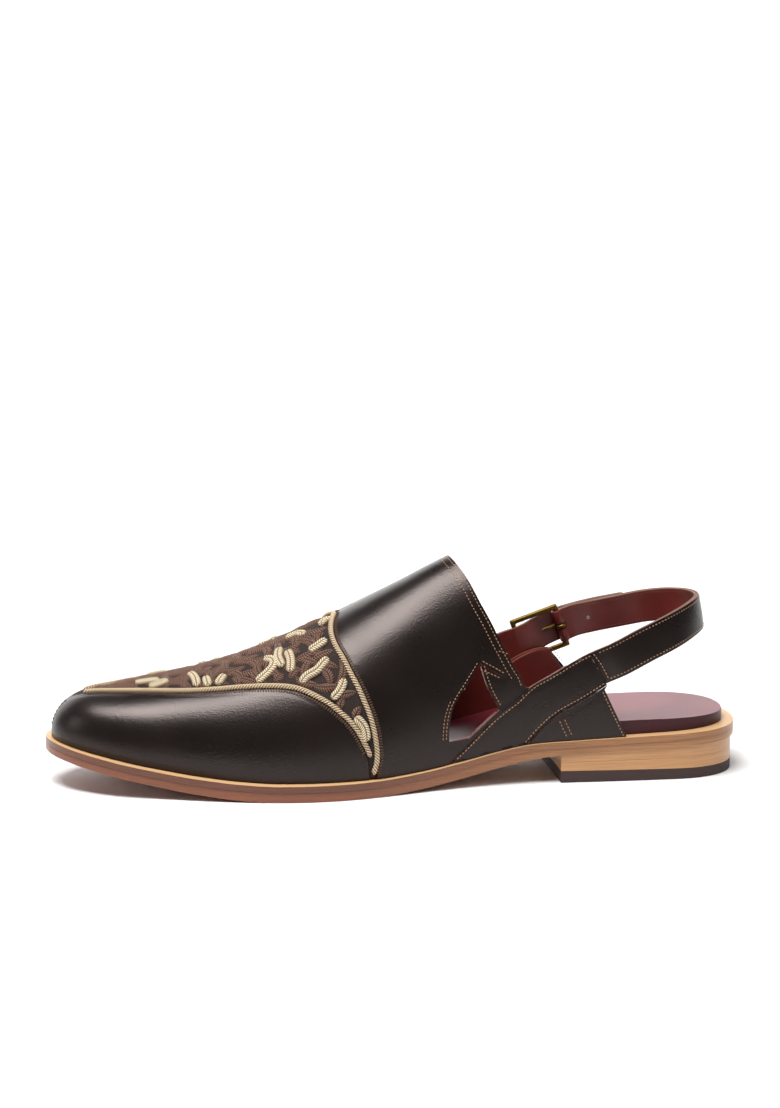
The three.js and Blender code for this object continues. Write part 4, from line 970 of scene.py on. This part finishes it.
brown = []
GROUND_STEP = 6.2
LEAF_TURNS = (0.5, 2.2, 1.2, 2.8, 0.1, 1.7, 2.5)
spots = [
    (x, y)
    for x in np.arange(vamp_outline[:, 0].min(), vamp_outline[:, 0].max(), GROUND_STEP)
    for y in np.arange(-PATTERN_GIRTH / 2, PATTERN_GIRTH / 2, GROUND_STEP)
]
spots = np.array(spots)
share = girth_share(spots[:, 0])
spots = spots[inside(spots, [vamp_outline]) & (edge_distance(spots, [vamp_outline]) > 2.4)]
for i, spot in enumerate(spots):
    turn = LEAF_TURNS[i % len(LEAF_TURNS)] + 0.35 * math.sin(i * 1.7)
    shift = np.array([math.sin(i * 2.1), math.cos(i * 1.3)])
    half = np.array([math.cos(turn), math.sin(turn) / girth_share(spot[:1])[0]]) * 5.6
    ends = np.array([spot + shift - half, spot + shift + half])
    ends = ends if inside(ends, [vamp_outline]).all() else np.array([spot - half * 0.5, spot + half * 0.5])
    run = ends[1] - ends[0]
    t = np.linspace(0, 1, 15)[:, None]
    bend = np.array([-run[1], run[0]]) * 0.17 * math.sin(i * 0.9)
    brown.append(ends[0] + run * t + bend * 4 * t * (1 - t))
brown_leaves = leaf_pieces("brown_leaves", brown, brown_braid, 4.4, 2.0, LAYER + 0.3, True)
gold_leaves = leaf_pieces("gold_leaves", gold, gold_braid, 4.0, 1.7, LAYER + 1.2, False)
for leaves in (brown_leaves, gold_leaves):
    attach(leaves, "root")


# The pipings are gold and cream cords of three twisted strands, laid between the leather pieces
# and the insert.
# twisted metallic and cream thread, with painted shade in the grooves between the strands
gold_cord, tree, shader = surface("gold_twist", "#d9c492", 0.5)
uv = node(tree, "ShaderNodeUVMap", {"uv_map": "cord"})
split = node(tree, "ShaderNodeSeparateXYZ", None, {0: uv.outputs[0]})
wave = node(tree, "ShaderNodeMath", {"operation": "SINE"}, {0: split.outputs["X"]})
fibre = node(tree, "ShaderNodeMapRange", None, {"Value": wave.outputs[0], "From Min": -1.0})
shade = node(tree, "ShaderNodeMix", {"data_type": "RGBA"}, {
    0: fibre.outputs[0], 6: linear("#c4a47e"), 7: linear("#ead8b6"),
})
# painted shade: the thread turns brown on each strand's inner side, where it presses into the others
crest = node(tree, "ShaderNodeMapRange", None, {"Value": split.outputs["Y"], "From Min": 0.0, "From Max": 0.75})
painted_groove_shade = node(tree, "ShaderNodeMix", {"data_type": "RGBA"}, {
    0: crest.outputs[0], 6: linear("#775a3c"), 7: shade.outputs[2],
})
tree.links.new(painted_groove_shade.outputs[2], shader.inputs["Base Color"])


def twisted_cord(name, points, radius, lay, material):
    """Three strands twisted round a line over the last. Lay is the length of one turn."""
    place, out = drape(points, np.full(len(points), LAYER + PIPING / 2))
    chord = np.concatenate([[0], np.linalg.norm(np.diff(place, axis=0), axis=1).cumsum()]) / MM
    t = np.arange(0, chord[-1], 0.4)
    path = np.stack([np.interp(t, chord, place[:, k]) for k in range(3)], 1)
    up = np.stack([np.interp(t, chord, out[:, k]) for k in range(3)], 1)
    along = np.gradient(path, axis=0)
    along /= np.linalg.norm(along, axis=1)[:, None]
    aside = np.cross(up, along)
    aside /= np.linalg.norm(aside, axis=1)[:, None]
    up = np.cross(along, aside)
    strand, sides = radius * 0.52, 7
    vertices, faces, uvs = [], [], []
    for k in range(3):
        phase = 2 * math.pi * (t / lay + k / 3)
        shrink = np.clip(np.minimum(t, t[-1] - t) / 1.2, 0.15, 1) ** 0.5
        middle = path + MM * (radius - strand) * shrink[:, None] * (
            np.cos(phase)[:, None] * up + np.sin(phase)[:, None] * aside
        )
        first = len(vertices)
        for i in range(len(t)):
            for j in range(sides):
                a = 2 * math.pi * j / sides
                vertices.append(middle[i] + MM * strand * shrink[i] * (math.cos(a) * up[i] + math.sin(a) * aside[i]))
                uvs.append((2 * math.pi * t[i] / 0.7 + a, math.cos(a - phase[i])))
        for i in range(len(t) - 1):
            for j in range(sides):
                a = first + i * sides + j
                b = first + i * sides + (j + 1) % sides
                faces.append((a, b, b + sides, a + sides))
        faces.append([first + j for j in range(sides)][::-1])
        faces.append([first + (len(t) - 1) * sides + j for j in range(sides)])
    piece = new_piece(name, vertices, faces, material)
    layer = piece.data.uv_layers.new(name="cord")
    for loop in piece.data.loops:
        layer.data[loop.index].uv = uvs[loop.vertex_index]
    only(piece)
    bpy.ops.object.mode_set(mode="EDIT")
    bpy.ops.mesh.select_all(action="SELECT")
    bpy.ops.mesh.normals_make_consistent(inside=False)
    bpy.ops.object.mode_set(mode="OBJECT")
    return piece


wing_cord = line([(0.5535, 0.0575), *WING_LINE[1:15], (0.9345, 0.449), (0.942, 0.464)], 0.6)
band_cord = line([(0.5492, 0.012), *BAND_LINE[1:]], 0.6)
for name, points, replaced in (
    ("piping_cord_wing_lateral", wing_cord, "piping_wing_lateral"),
    ("piping_cord_wing_medial", wing_cord * (1, -1), "piping_wing_medial"),
    ("piping_cord_band", np.vstack([band_cord, other_side(band_cord)[1:]]), "piping_band"),
):
    piping = twisted_cord(name, points, PIPING / 2, 3.8, gold_cord)
    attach(piping, "root")
    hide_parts(replaced)

# The instep band is one wide piece of the same dark leather. Its front edge lies behind the piping,
# its rear edge is the collar, and its tails run down in front of the windows and under the straps.
band_front = beside(line(BAND_LINE), -HALF_PIPING)
strap_edge = beside(line(STRAP_TOP[:5]), 0.2)
band_outline = joined(
    line(COLLAR)[::-1],
    strap_edge[::-1],
    line([(0.4375, 0.0), (0.49, 0.0), (0.5475, 0.0)]),
    band_front,
    other_side(band_front)[1:],
    other_side(line([(0.4375, 0.0), (0.49, 0.0), (0.5475, 0.0)])),
    other_side(strap_edge[::-1]),
    other_side(line(COLLAR)[::-1])[:-1],
)
band = cut_leather(
    "instep_band_calf", [band_outline, window, medial_window], LAYER, BUILD, [dark_calf, cut_edge], 1.7, 0.4,
    [STITCH_DIP],
)
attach(band, "root")
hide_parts("instep_band")
rows = []
collar = line(COLLAR)
window_front = line(WINDOW_FRONT)
window_rear = line(WINDOW_REAR[:3])
for points, shift in (
    (beside(collar, 1.1)[3:], 0),
    (beside(collar, 3.4)[8:], 0),
    (beside(window_front, -1.2), WINDOW_SHIFT),
    (beside(window_front, -2.7)[len(window_front) // 2 :], WINDOW_SHIFT),
    (beside(window_rear, 1.2), WINDOW_SHIFT),
    (beside(line([NOTCH_TIP, WINDOW_FRONT[0]]), -1.2), WINDOW_SHIFT),
    (beside(line([WINDOW_REAR[0], NOTCH_TIP]), -1.2), WINDOW_SHIFT),
    (line([(0.3635, 0.2301), (0.3536, 0.2219), (0.345, 0.2143)], 0.6), 0),
):
    rows.append(drape(points, np.full(len(points), BUILD)))
    rows.append(drape(other_side(points) + shift, np.full(len(points), BUILD)))
band_stitches = stitch_rows("band_stitches", rows, tan_thread, 1.6, 1.15, 0.45)
edge_row = beside(band_front, -0.5)[2:]
rows = [drape(points, np.full(len(points), BUILD)) for points in (edge_row, other_side(edge_row))]
band_whipping = stitch_rows("band_whipping", rows, dark_thread, 1.15, 2.0, 0.75, True)
for stitches in (band_stitches, band_whipping):
    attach(stitches, "root")

# The quarters hold the heel: on each side a slanting strap of dark leather runs up from the sole to
# the heel strap, and a lower piece behind it closes the side down to the sole.
rows = []
for side, top, foot, end in (
    ("lateral", STRAP_TOP, STRAP_FOOT, QUARTER_END),
    ("medial", STRAP_TOP_MEDIAL, STRAP_FOOT_MEDIAL, QUARTER_END_MEDIAL),
):
    top_line, foot_line = line(top), line(foot[3:])
    strap_outline = joined(
        line([foot[3], foot[0]]), line([foot[0], top[0]]), top_line, line([top[-1], foot[-1]]), foot_line[::-1],
    )
    quarter_top = beside(foot_line, -FIT)
    quarter_outline = joined(line([(0.1779, 0), (0.3195, 0)]), quarter_top, line(end)[::-1])
    turned = (lambda p: p) if side == "lateral" else other_side
    for name, points, replaced in (
        ("quarter_strap_calf_" + side, strap_outline, "quarter_strap_" + side),
        ("quarter_calf_" + side, quarter_outline, "quarter_" + side),
    ):
        piece = cut_leather(name, [turned(points)], LAYER, BUILD, [dark_calf, cut_edge], 1.5, 0.35, [STITCH_DIP])
        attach(piece, "root")
        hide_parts(replaced)
    seam = [(0.2297, 0.1934), (0.217, 0.1635), (0.2072, 0.1304)]
    if side == "medial":
        seam = [(0.254, 0.153), (0.243, 0.131), (0.234, 0.113)]
    for points in (
        beside(top_line, -1.2), beside(foot_line, 1.2), beside(line(end), 1.2), beside(line(seam), 1.2),
        line([(0.2758, 0.0482), (0.2633, 0.0031)]), line([(0.2685, 0.0513), (0.2559, 0.0063)]),
    ):
        rows.append(drape(turned(points), np.full(len(points), BUILD)))
quarter_stitches = stitch_rows("quarter_stitches", rows, tan_thread, 1.6, 1.15, 0.45)
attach(quarter_stitches, "root")

# The heel strap is two layers sewn together: dark leather outside and red-brown lining inside. It
# starts under the lateral quarter strap and ends in a fold round the buckle's rear bar.
STRAP_WIDTH, STRAP, TAB, STRAP_LEAN, TAB_FLARE = 15, 2.2, 1.8, 10, 1.5
BUCKLE_LENGTH, BUCKLE_ROD, BUCKLE_PLAY, PRONG = 22.5, 2.2, 0.7, 1.7
lean = math.tan(math.radians(STRAP_LEAN))
tilt = math.radians(20)


def unit(v):
    return np.array(v, float) / np.linalg.norm(v)


def over(at, across, height):
    place, out = drape(flat([(at, across)]), np.array([height]))
    return place[0] / MM, out[0]


buckle_along = unit((math.cos(tilt), -0.04, math.sin(tilt)))
buckle_out = unit(np.array((0, 1, 0.12)) - np.dot((0, 1, 0.12), buckle_along) * buckle_along)
buckle_up = unit(np.cross(buckle_out, buckle_along))
bar_at = (BUCKLE_LENGTH - BUCKLE_ROD) / 2
buckle_width = STRAP_WIDTH + 2 * (BUCKLE_ROD + BUCKLE_PLAY)
front_bar = over(0.297, 1 - 0.176, BUILD + FIT + TAB + FIT + BUCKLE_ROD / 2)[0]
buckle_centre = front_bar + buckle_along * bar_at
bore = BUCKLE_ROD / 2 + FIT / 2
fold = bore + STRAP / 2


def in_buckle(a, b, o):
    return buckle_centre + buckle_along * a + buckle_up * b + buckle_out * o


def spline(points, tension=0.25):
    """Centripetal curve through points, as a function of a share from 0 to 1."""
    p = np.vstack([2 * points[0] - points[1], points, 2 * points[-1] - points[-2]])
    gaps = (np.diff(p, axis=0) ** 2).sum(1) ** tension

    def value(share):
        q = np.clip(share, 0, 1) * (len(points) - 1)
        i = np.minimum(q.astype(int), len(points) - 2)
        t = (q - i)[:, None]
        d0, d1, d2 = (gaps[i + k][:, None] for k in range(3))
        p0, p1, p2, p3 = (p[i + k] for k in range(4))
        t1 = ((p1 - p0) / d0 - (p2 - p0) / (d0 + d1) + (p2 - p1) / d1) * d1
        t2 = ((p2 - p1) / d1 - (p3 - p1) / (d1 + d2) + (p3 - p2) / d2) * d1
        c2 = -3 * p1 + 3 * p2 - 2 * t1 - t2
        c3 = 2 * p1 - 2 * p2 + t1 + t2
        return p1 + t1 * t + c2 * t**2 + c3 * t**3

    return value


STRAP_BACK = 15.7
# shares of the length from the strap's back, of the heel width and of the instep height, and the
# outward x and y
STRAP_PATH = [
    (0.1361, -0.442, 0.5742, 0, -1), (0.0993, -0.4387, 0.6344, 0.05, -1), (0.0613, -0.4032, 0.6871, 0.3, -1),
    (0.0281, -0.2903, 0.7247, 0.8, -0.9), (0.0053, -0.129, 0.743, 1, -0.35), (0, 0, 0.7462, 1, 0),
    (0.006, 0.129, 0.7441, 1, 0.35), (0.0281, 0.2742, 0.7344, 0.8, 0.9), (0.0579, 0.379, 0.7161, 0.3, 1),
    (0.096, 0.4387, 0.6871, 0.08, 1), (0.1358, 0.4742, 0.6591, 0.03, 1),
]


def behind(x, y, z, out_x, out_y):
    place = (LENGTH / 2 - STRAP_BACK - x * LENGTH, y * HEEL_WIDTH, z * INSTEP_HEIGHT)
    return place, unit((out_x, out_y, lean))


strap_rows = [over(0.2385, 0.146, WALL - STRAP / 2 - 1.1), over(0.2191, 0.1608, WALL - STRAP / 2 - 0.7)]
strap_rows += [behind(*row) for row in STRAP_PATH]
strap_rows += [
    (in_buckle(bar_at + 0.267 * BUCKLE_LENGTH, 0, 0.09 * STRAP), buckle_out),
    (in_buckle(bar_at + bore + 0.23 * STRAP, 0, 0), buckle_out),
]


def strap_frame(rows):
    """Middle, outward and upward directions along a strap's path, as functions of a share."""
    middle = spline(np.array([r[0] for r in rows], float))
    outward = np.array([r[1] for r in rows], float)

    def value(share):
        place = middle(share)
        travel = middle(np.clip(share + 0.002, 0, 1)) - middle(np.clip(share - 0.002, 0, 1))
        travel /= np.linalg.norm(travel, axis=1)[:, None]
        knots = np.clip(share, 0, 1) * (len(rows) - 1)
        out = np.stack([np.interp(knots, np.arange(len(rows)), outward[:, k]) for k in range(3)], 1)
        out -= (out * travel).sum(1)[:, None] * travel
        out /= np.linalg.norm(out, axis=1)[:, None]
        return place, out, np.cross(travel, out)

    return value


def strap_layer(name, path, low, high, width, materials, count=170, columns=12, round_end=0.0, edge_round=0.35):
    """A layer of a strap: a grid laid along the path, thickened, with its edges rounded."""
    leave_edit()
    bpy.ops.object.select_all(action="DESELECT")
    bpy.ops.mesh.primitive_grid_add(x_subdivisions=count, y_subdivisions=columns, size=2)
    piece = bpy.context.object
    piece.name = name
    piece.data.name = name
    for material in materials:
        piece.data.materials.append(material)
    co = places(piece)
    run = np.linalg.norm(np.diff(path(np.linspace(0, 1, 200))[0], axis=0), axis=1).sum()
    share = (co[:, 0] + 1) / 2
    wide = width(share) / 2
    if round_end:
        left = (1 - share) * run / round_end
        wide = wide * np.where(left < 1, np.sqrt(1 - (1 - left.clip(0, 1)) ** 2).clip(0.08), 1)
    put(piece, np.stack([share * run, co[:, 1] * wide, 0 * wide], 1))
    finish_with(piece, "SOLIDIFY", thickness=high - low, offset=1)
    finish_with(piece, "BEVEL", width=edge_round, segments=3, limit_method="ANGLE", angle_limit=math.radians(50))
    if len(materials) > 1:
        for face in piece.data.polygons:
            face.material_index = 1 if abs(face.normal.z) < 0.75 else 0
    co = places(piece)
    place, out, up = path(np.clip(co[:, 0] / run, 0, 1))
    z = co[:, 2] - co[:, 2].min() + low
    crown = 0.25 * (1 - (co[:, 1] / (STRAP_WIDTH / 2)) ** 2).clip(0, 1) * (z - low) / (high - low)
    put(piece, (place + up * co[:, 1:2] + out * (z + crown)[:, None]) * MM)
    bpy.ops.object.shade_smooth()
    finish_with(piece, "WEIGHTED_NORMAL", mode="FACE_AREA", weight=50)
    return piece


strap_path = strap_frame(strap_rows)


def even(share):
    return np.full(len(share), float(STRAP_WIDTH))


sling_outer = strap_layer("sling_strap_calf", strap_path, 0.05, STRAP / 2, even, [dark_calf, cut_edge])
sling_lining = strap_layer("sling_strap_lining", strap_path, -STRAP / 2, 0.0, even, [lining_calf, cut_edge])
buckle_matrix = Matrix((
    (buckle_along[0], buckle_up[0], buckle_out[0], buckle_centre[0]),
    (buckle_along[1], buckle_up[1], buckle_out[1], buckle_centre[1]),
    (buckle_along[2], buckle_up[2], buckle_out[2], buckle_centre[2]),
    (0, 0, 0, 1),
))
slot_half = PRONG / 2 + FIT
fold_half = (STRAP_WIDTH / 2 - slot_half) / 2
folds = []
for side in (-1, 1):
    leave_edit()
    bpy.ops.object.select_all(action="DESELECT")
    bpy.ops.mesh.primitive_cylinder_add(
        radius=fold, depth=2 * fold_half, vertices=40, end_fill_type="NOTHING", rotation=(math.pi / 2, 0, 0),
        location=(bar_at, side * (slot_half + fold_half), 0),
    )
    bpy.ops.object.transform_apply(location=True, rotation=True)
    half_fold = bpy.context.object
    half_fold.name = "sling_strap_fold_%s" % ("lower" if side < 0 else "upper")
    finish_with(half_fold, "SOLIDIFY", thickness=STRAP / 2, offset=-1)
    finish_with(half_fold, "BEVEL", width=0.3, segments=2, limit_method="ANGLE", angle_limit=math.radians(50))
    half_fold.data.transform(Matrix.Scale(MM, 4) @ buckle_matrix)
    half_fold.data.materials.append(lining_calf)
    bpy.ops.object.shade_smooth()
    folds.append(half_fold)
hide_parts("sling_strap")
for piece, slot in (
    (sling_outer, "dark_leather"), (sling_lining, "lining_leather"), (folds[0], "dark_leather"),
    (folds[1], "dark_leather"),
):
    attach(piece, "root")
rows, inner_rows = [], []
share = np.linspace(0.095, 0.985, 240)
place, out, up = strap_path(share)
for edge in (-1, 1):
    aside = place + up * edge * (STRAP_WIDTH / 2 - 1.4)
    rows.append(((aside + out * (STRAP / 2 + 0.05)) * MM, out))
    inner_rows.append(((aside - out * (STRAP / 2)) * MM, -out))
sling_stitches = stitch_rows("sling_stitches", rows, tan_thread, 1.6, 1.15, 0.45)
lining_stitches = stitch_rows("sling_lining_stitches", inner_rows, dark_thread, 1.6, 1.15, 0.4)
for stitches in (sling_stitches, lining_stitches):
    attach(stitches, "root")

# The buckle tab is a single strap with punched holes, sewn to the medial quarter. It passes inside
# the front bar and over the rear bar, and lies on the heel strap.
under_bar = -(BUCKLE_ROD + TAB) / 2 - FIT
over_fold = fold + FIT + TAB / 2


def on_quarter(at, across):
    return over(at, 1 - across, BUILD + FIT + TAB / 2)


def on_strap(row, extra):
    place, out = row
    return np.array(place) + out * ((STRAP + TAB) / 2 + FIT + extra), out


tab_rows = [on_quarter(*r) for r in ((0.357, 0.1495), (0.342, 0.158), (0.326, 0.166), (0.311, 0.172))]
tab_rows += [
    (in_buckle(-bar_at, 0, under_bar), buckle_out),
    (in_buckle(-bar_at / 2, 0, under_bar + 0.67 * TAB), buckle_out),
    (in_buckle(bar_at / 4, 0, over_fold - 0.44 * TAB), buckle_out),
    (in_buckle(bar_at, 0, over_fold), buckle_out),
    on_strap(strap_rows[12], FIT),
    on_strap(strap_rows[11], FIT / 3),
    on_strap(behind(0.0762, 0.4129, 0.7022, 0.2, 1), FIT / 3),
]
tab_path = strap_frame(tab_rows)


def tab_width(share):
    return STRAP_WIDTH - 0.2 + TAB_FLARE * np.clip(1 - share / 0.35, 0, 1)


tab_outer = strap_layer(
    "buckle_tab_calf", tab_path, 0.03, TAB / 2 - 0.25, tab_width, [dark_calf, cut_edge], 140, 12, 6.0, 0.3
)
tab_lining = strap_layer(
    "buckle_tab_lining", tab_path, -TAB / 2, 0.0, tab_width, [lining_calf, cut_edge], 140, 12, 6.0, 0.3
)
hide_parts("buckle_tab")
for piece, slot in ((tab_outer, "dark_leather"), (tab_lining, "lining_leather")):
    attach(piece, "root")

# The tab has a row of round holes, punched through both layers. One is also punched through the
# heel strap where the tab lies on it.
HOLE_RADIUS = 1.0
strap_pieces = [tab_outer, tab_lining, sling_outer, sling_lining]
shares = np.linspace(0.5, 1, 200)
along_tab = tab_path(shares)[0][:, 0]
for hole_x, punched in ((92.3, strap_pieces), (101.5, strap_pieces[:2])):
    share = np.interp(hole_x, along_tab, shares)
    place, out, up = (v[0] for v in tab_path(np.array([share])))
    leave_edit()
    bpy.ops.object.select_all(action="DESELECT")
    bpy.ops.mesh.primitive_cylinder_add(radius=HOLE_RADIUS, depth=14, vertices=20)
    punch = bpy.context.object
    along = np.cross(up, out)
    punch.data.transform(Matrix.Scale(MM, 4) @ Matrix((
        (along[0], up[0], out[0], place[0]), (along[1], up[1], out[1], place[1]),
        (along[2], up[2], out[2], place[2]), (0, 0, 0, 1),
    )))
    for piece in punched:
        finish_with(piece, "BOOLEAN", object=punch, operation="DIFFERENCE", solver="EXACT")
    bpy.data.objects.remove(punch)

# The buckle is cast brass, darkened and rubbed bright on its edges: a rectangular frame and a
# prong that is bent round the rear bar.
antique_brass, tree, shader = surface("antique_brass", "#7a602a", 0.36, Metallic=1.0)
place = node(tree, "ShaderNodeTexCoord").outputs["Object"]
stain = node(tree, "ShaderNodeTexNoise", None, {"Vector": place, "Scale": 400.0, "Detail": 6.0})
shade = node(tree, "ShaderNodeMix", {"data_type": "RGBA"}, {
    0: stain.outputs["Fac"], 6: linear("#3f2f10"), 7: linear("#836a33"),
})
tree.links.new(shade.outputs[2], shader.inputs["Base Color"])
grain_bump(tree, shader, place, 0.04, 0.6, 0.6)
leave_edit()
bpy.ops.object.select_all(action="DESELECT")
bpy.ops.mesh.primitive_cube_add(size=1)
buckle = bpy.context.object
buckle.name = "buckle_frame_brass"
put(buckle, places(buckle) * (BUCKLE_LENGTH, buckle_width, BUCKLE_ROD))
bpy.ops.object.mode_set(mode="EDIT")
bpy.ops.mesh.select_mode(type="FACE")
bpy.ops.mesh.select_all(action="DESELECT")
bpy.ops.object.mode_set(mode="OBJECT")
for face in buckle.data.polygons:
    face.select = abs(face.normal.z) > 0.9
bpy.ops.object.mode_set(mode="EDIT")
bpy.ops.mesh.inset(thickness=BUCKLE_ROD, depth=0)
bpy.ops.mesh.bridge_edge_loops()
bpy.ops.object.mode_set(mode="OBJECT")
finish_with(buckle, "BEVEL", width=0.75, segments=4, limit_method="ANGLE", angle_limit=math.radians(50))
buckle.data.transform(Matrix.Scale(MM, 4) @ buckle_matrix)
buckle.data.materials.append(antique_brass)
bpy.ops.object.shade_smooth()
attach(buckle, "root")
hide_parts("buckle_frame")

pin_height = bore + PRONG / 2
bpy.ops.object.select_all(action="DESELECT")
bpy.ops.mesh.primitive_torus_add(
    major_radius=bore + PRONG / 2, minor_radius=PRONG / 2, major_segments=32, minor_segments=12,
    rotation=(math.pi / 2, 0, 0), location=(bar_at, 0, 0),
)
eye = bpy.context.object
bpy.ops.object.transform_apply(location=True, rotation=True)
bpy.ops.object.select_all(action="DESELECT")
bpy.ops.mesh.primitive_cylinder_add(
    radius=PRONG / 2, depth=2 * bar_at + BUCKLE_ROD, vertices=16, rotation=(0, math.pi / 2, 0),
    location=(-BUCKLE_ROD / 2, 0, pin_height),
)
prong = bpy.context.object
prong.name = "buckle_prong_brass"
bpy.ops.object.transform_apply(location=True, rotation=True)
finish_with(prong, "BEVEL", width=0.35, segments=3, limit_method="ANGLE", angle_limit=math.radians(50))
eye.select_set(True)
bpy.context.view_layer.objects.active = prong
bpy.ops.object.join()
prong.data.transform(Matrix.Scale(MM, 4) @ buckle_matrix)
prong.data.materials.append(antique_brass)
bpy.ops.object.shade_smooth()
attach(prong, "root")
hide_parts("buckle_prong")
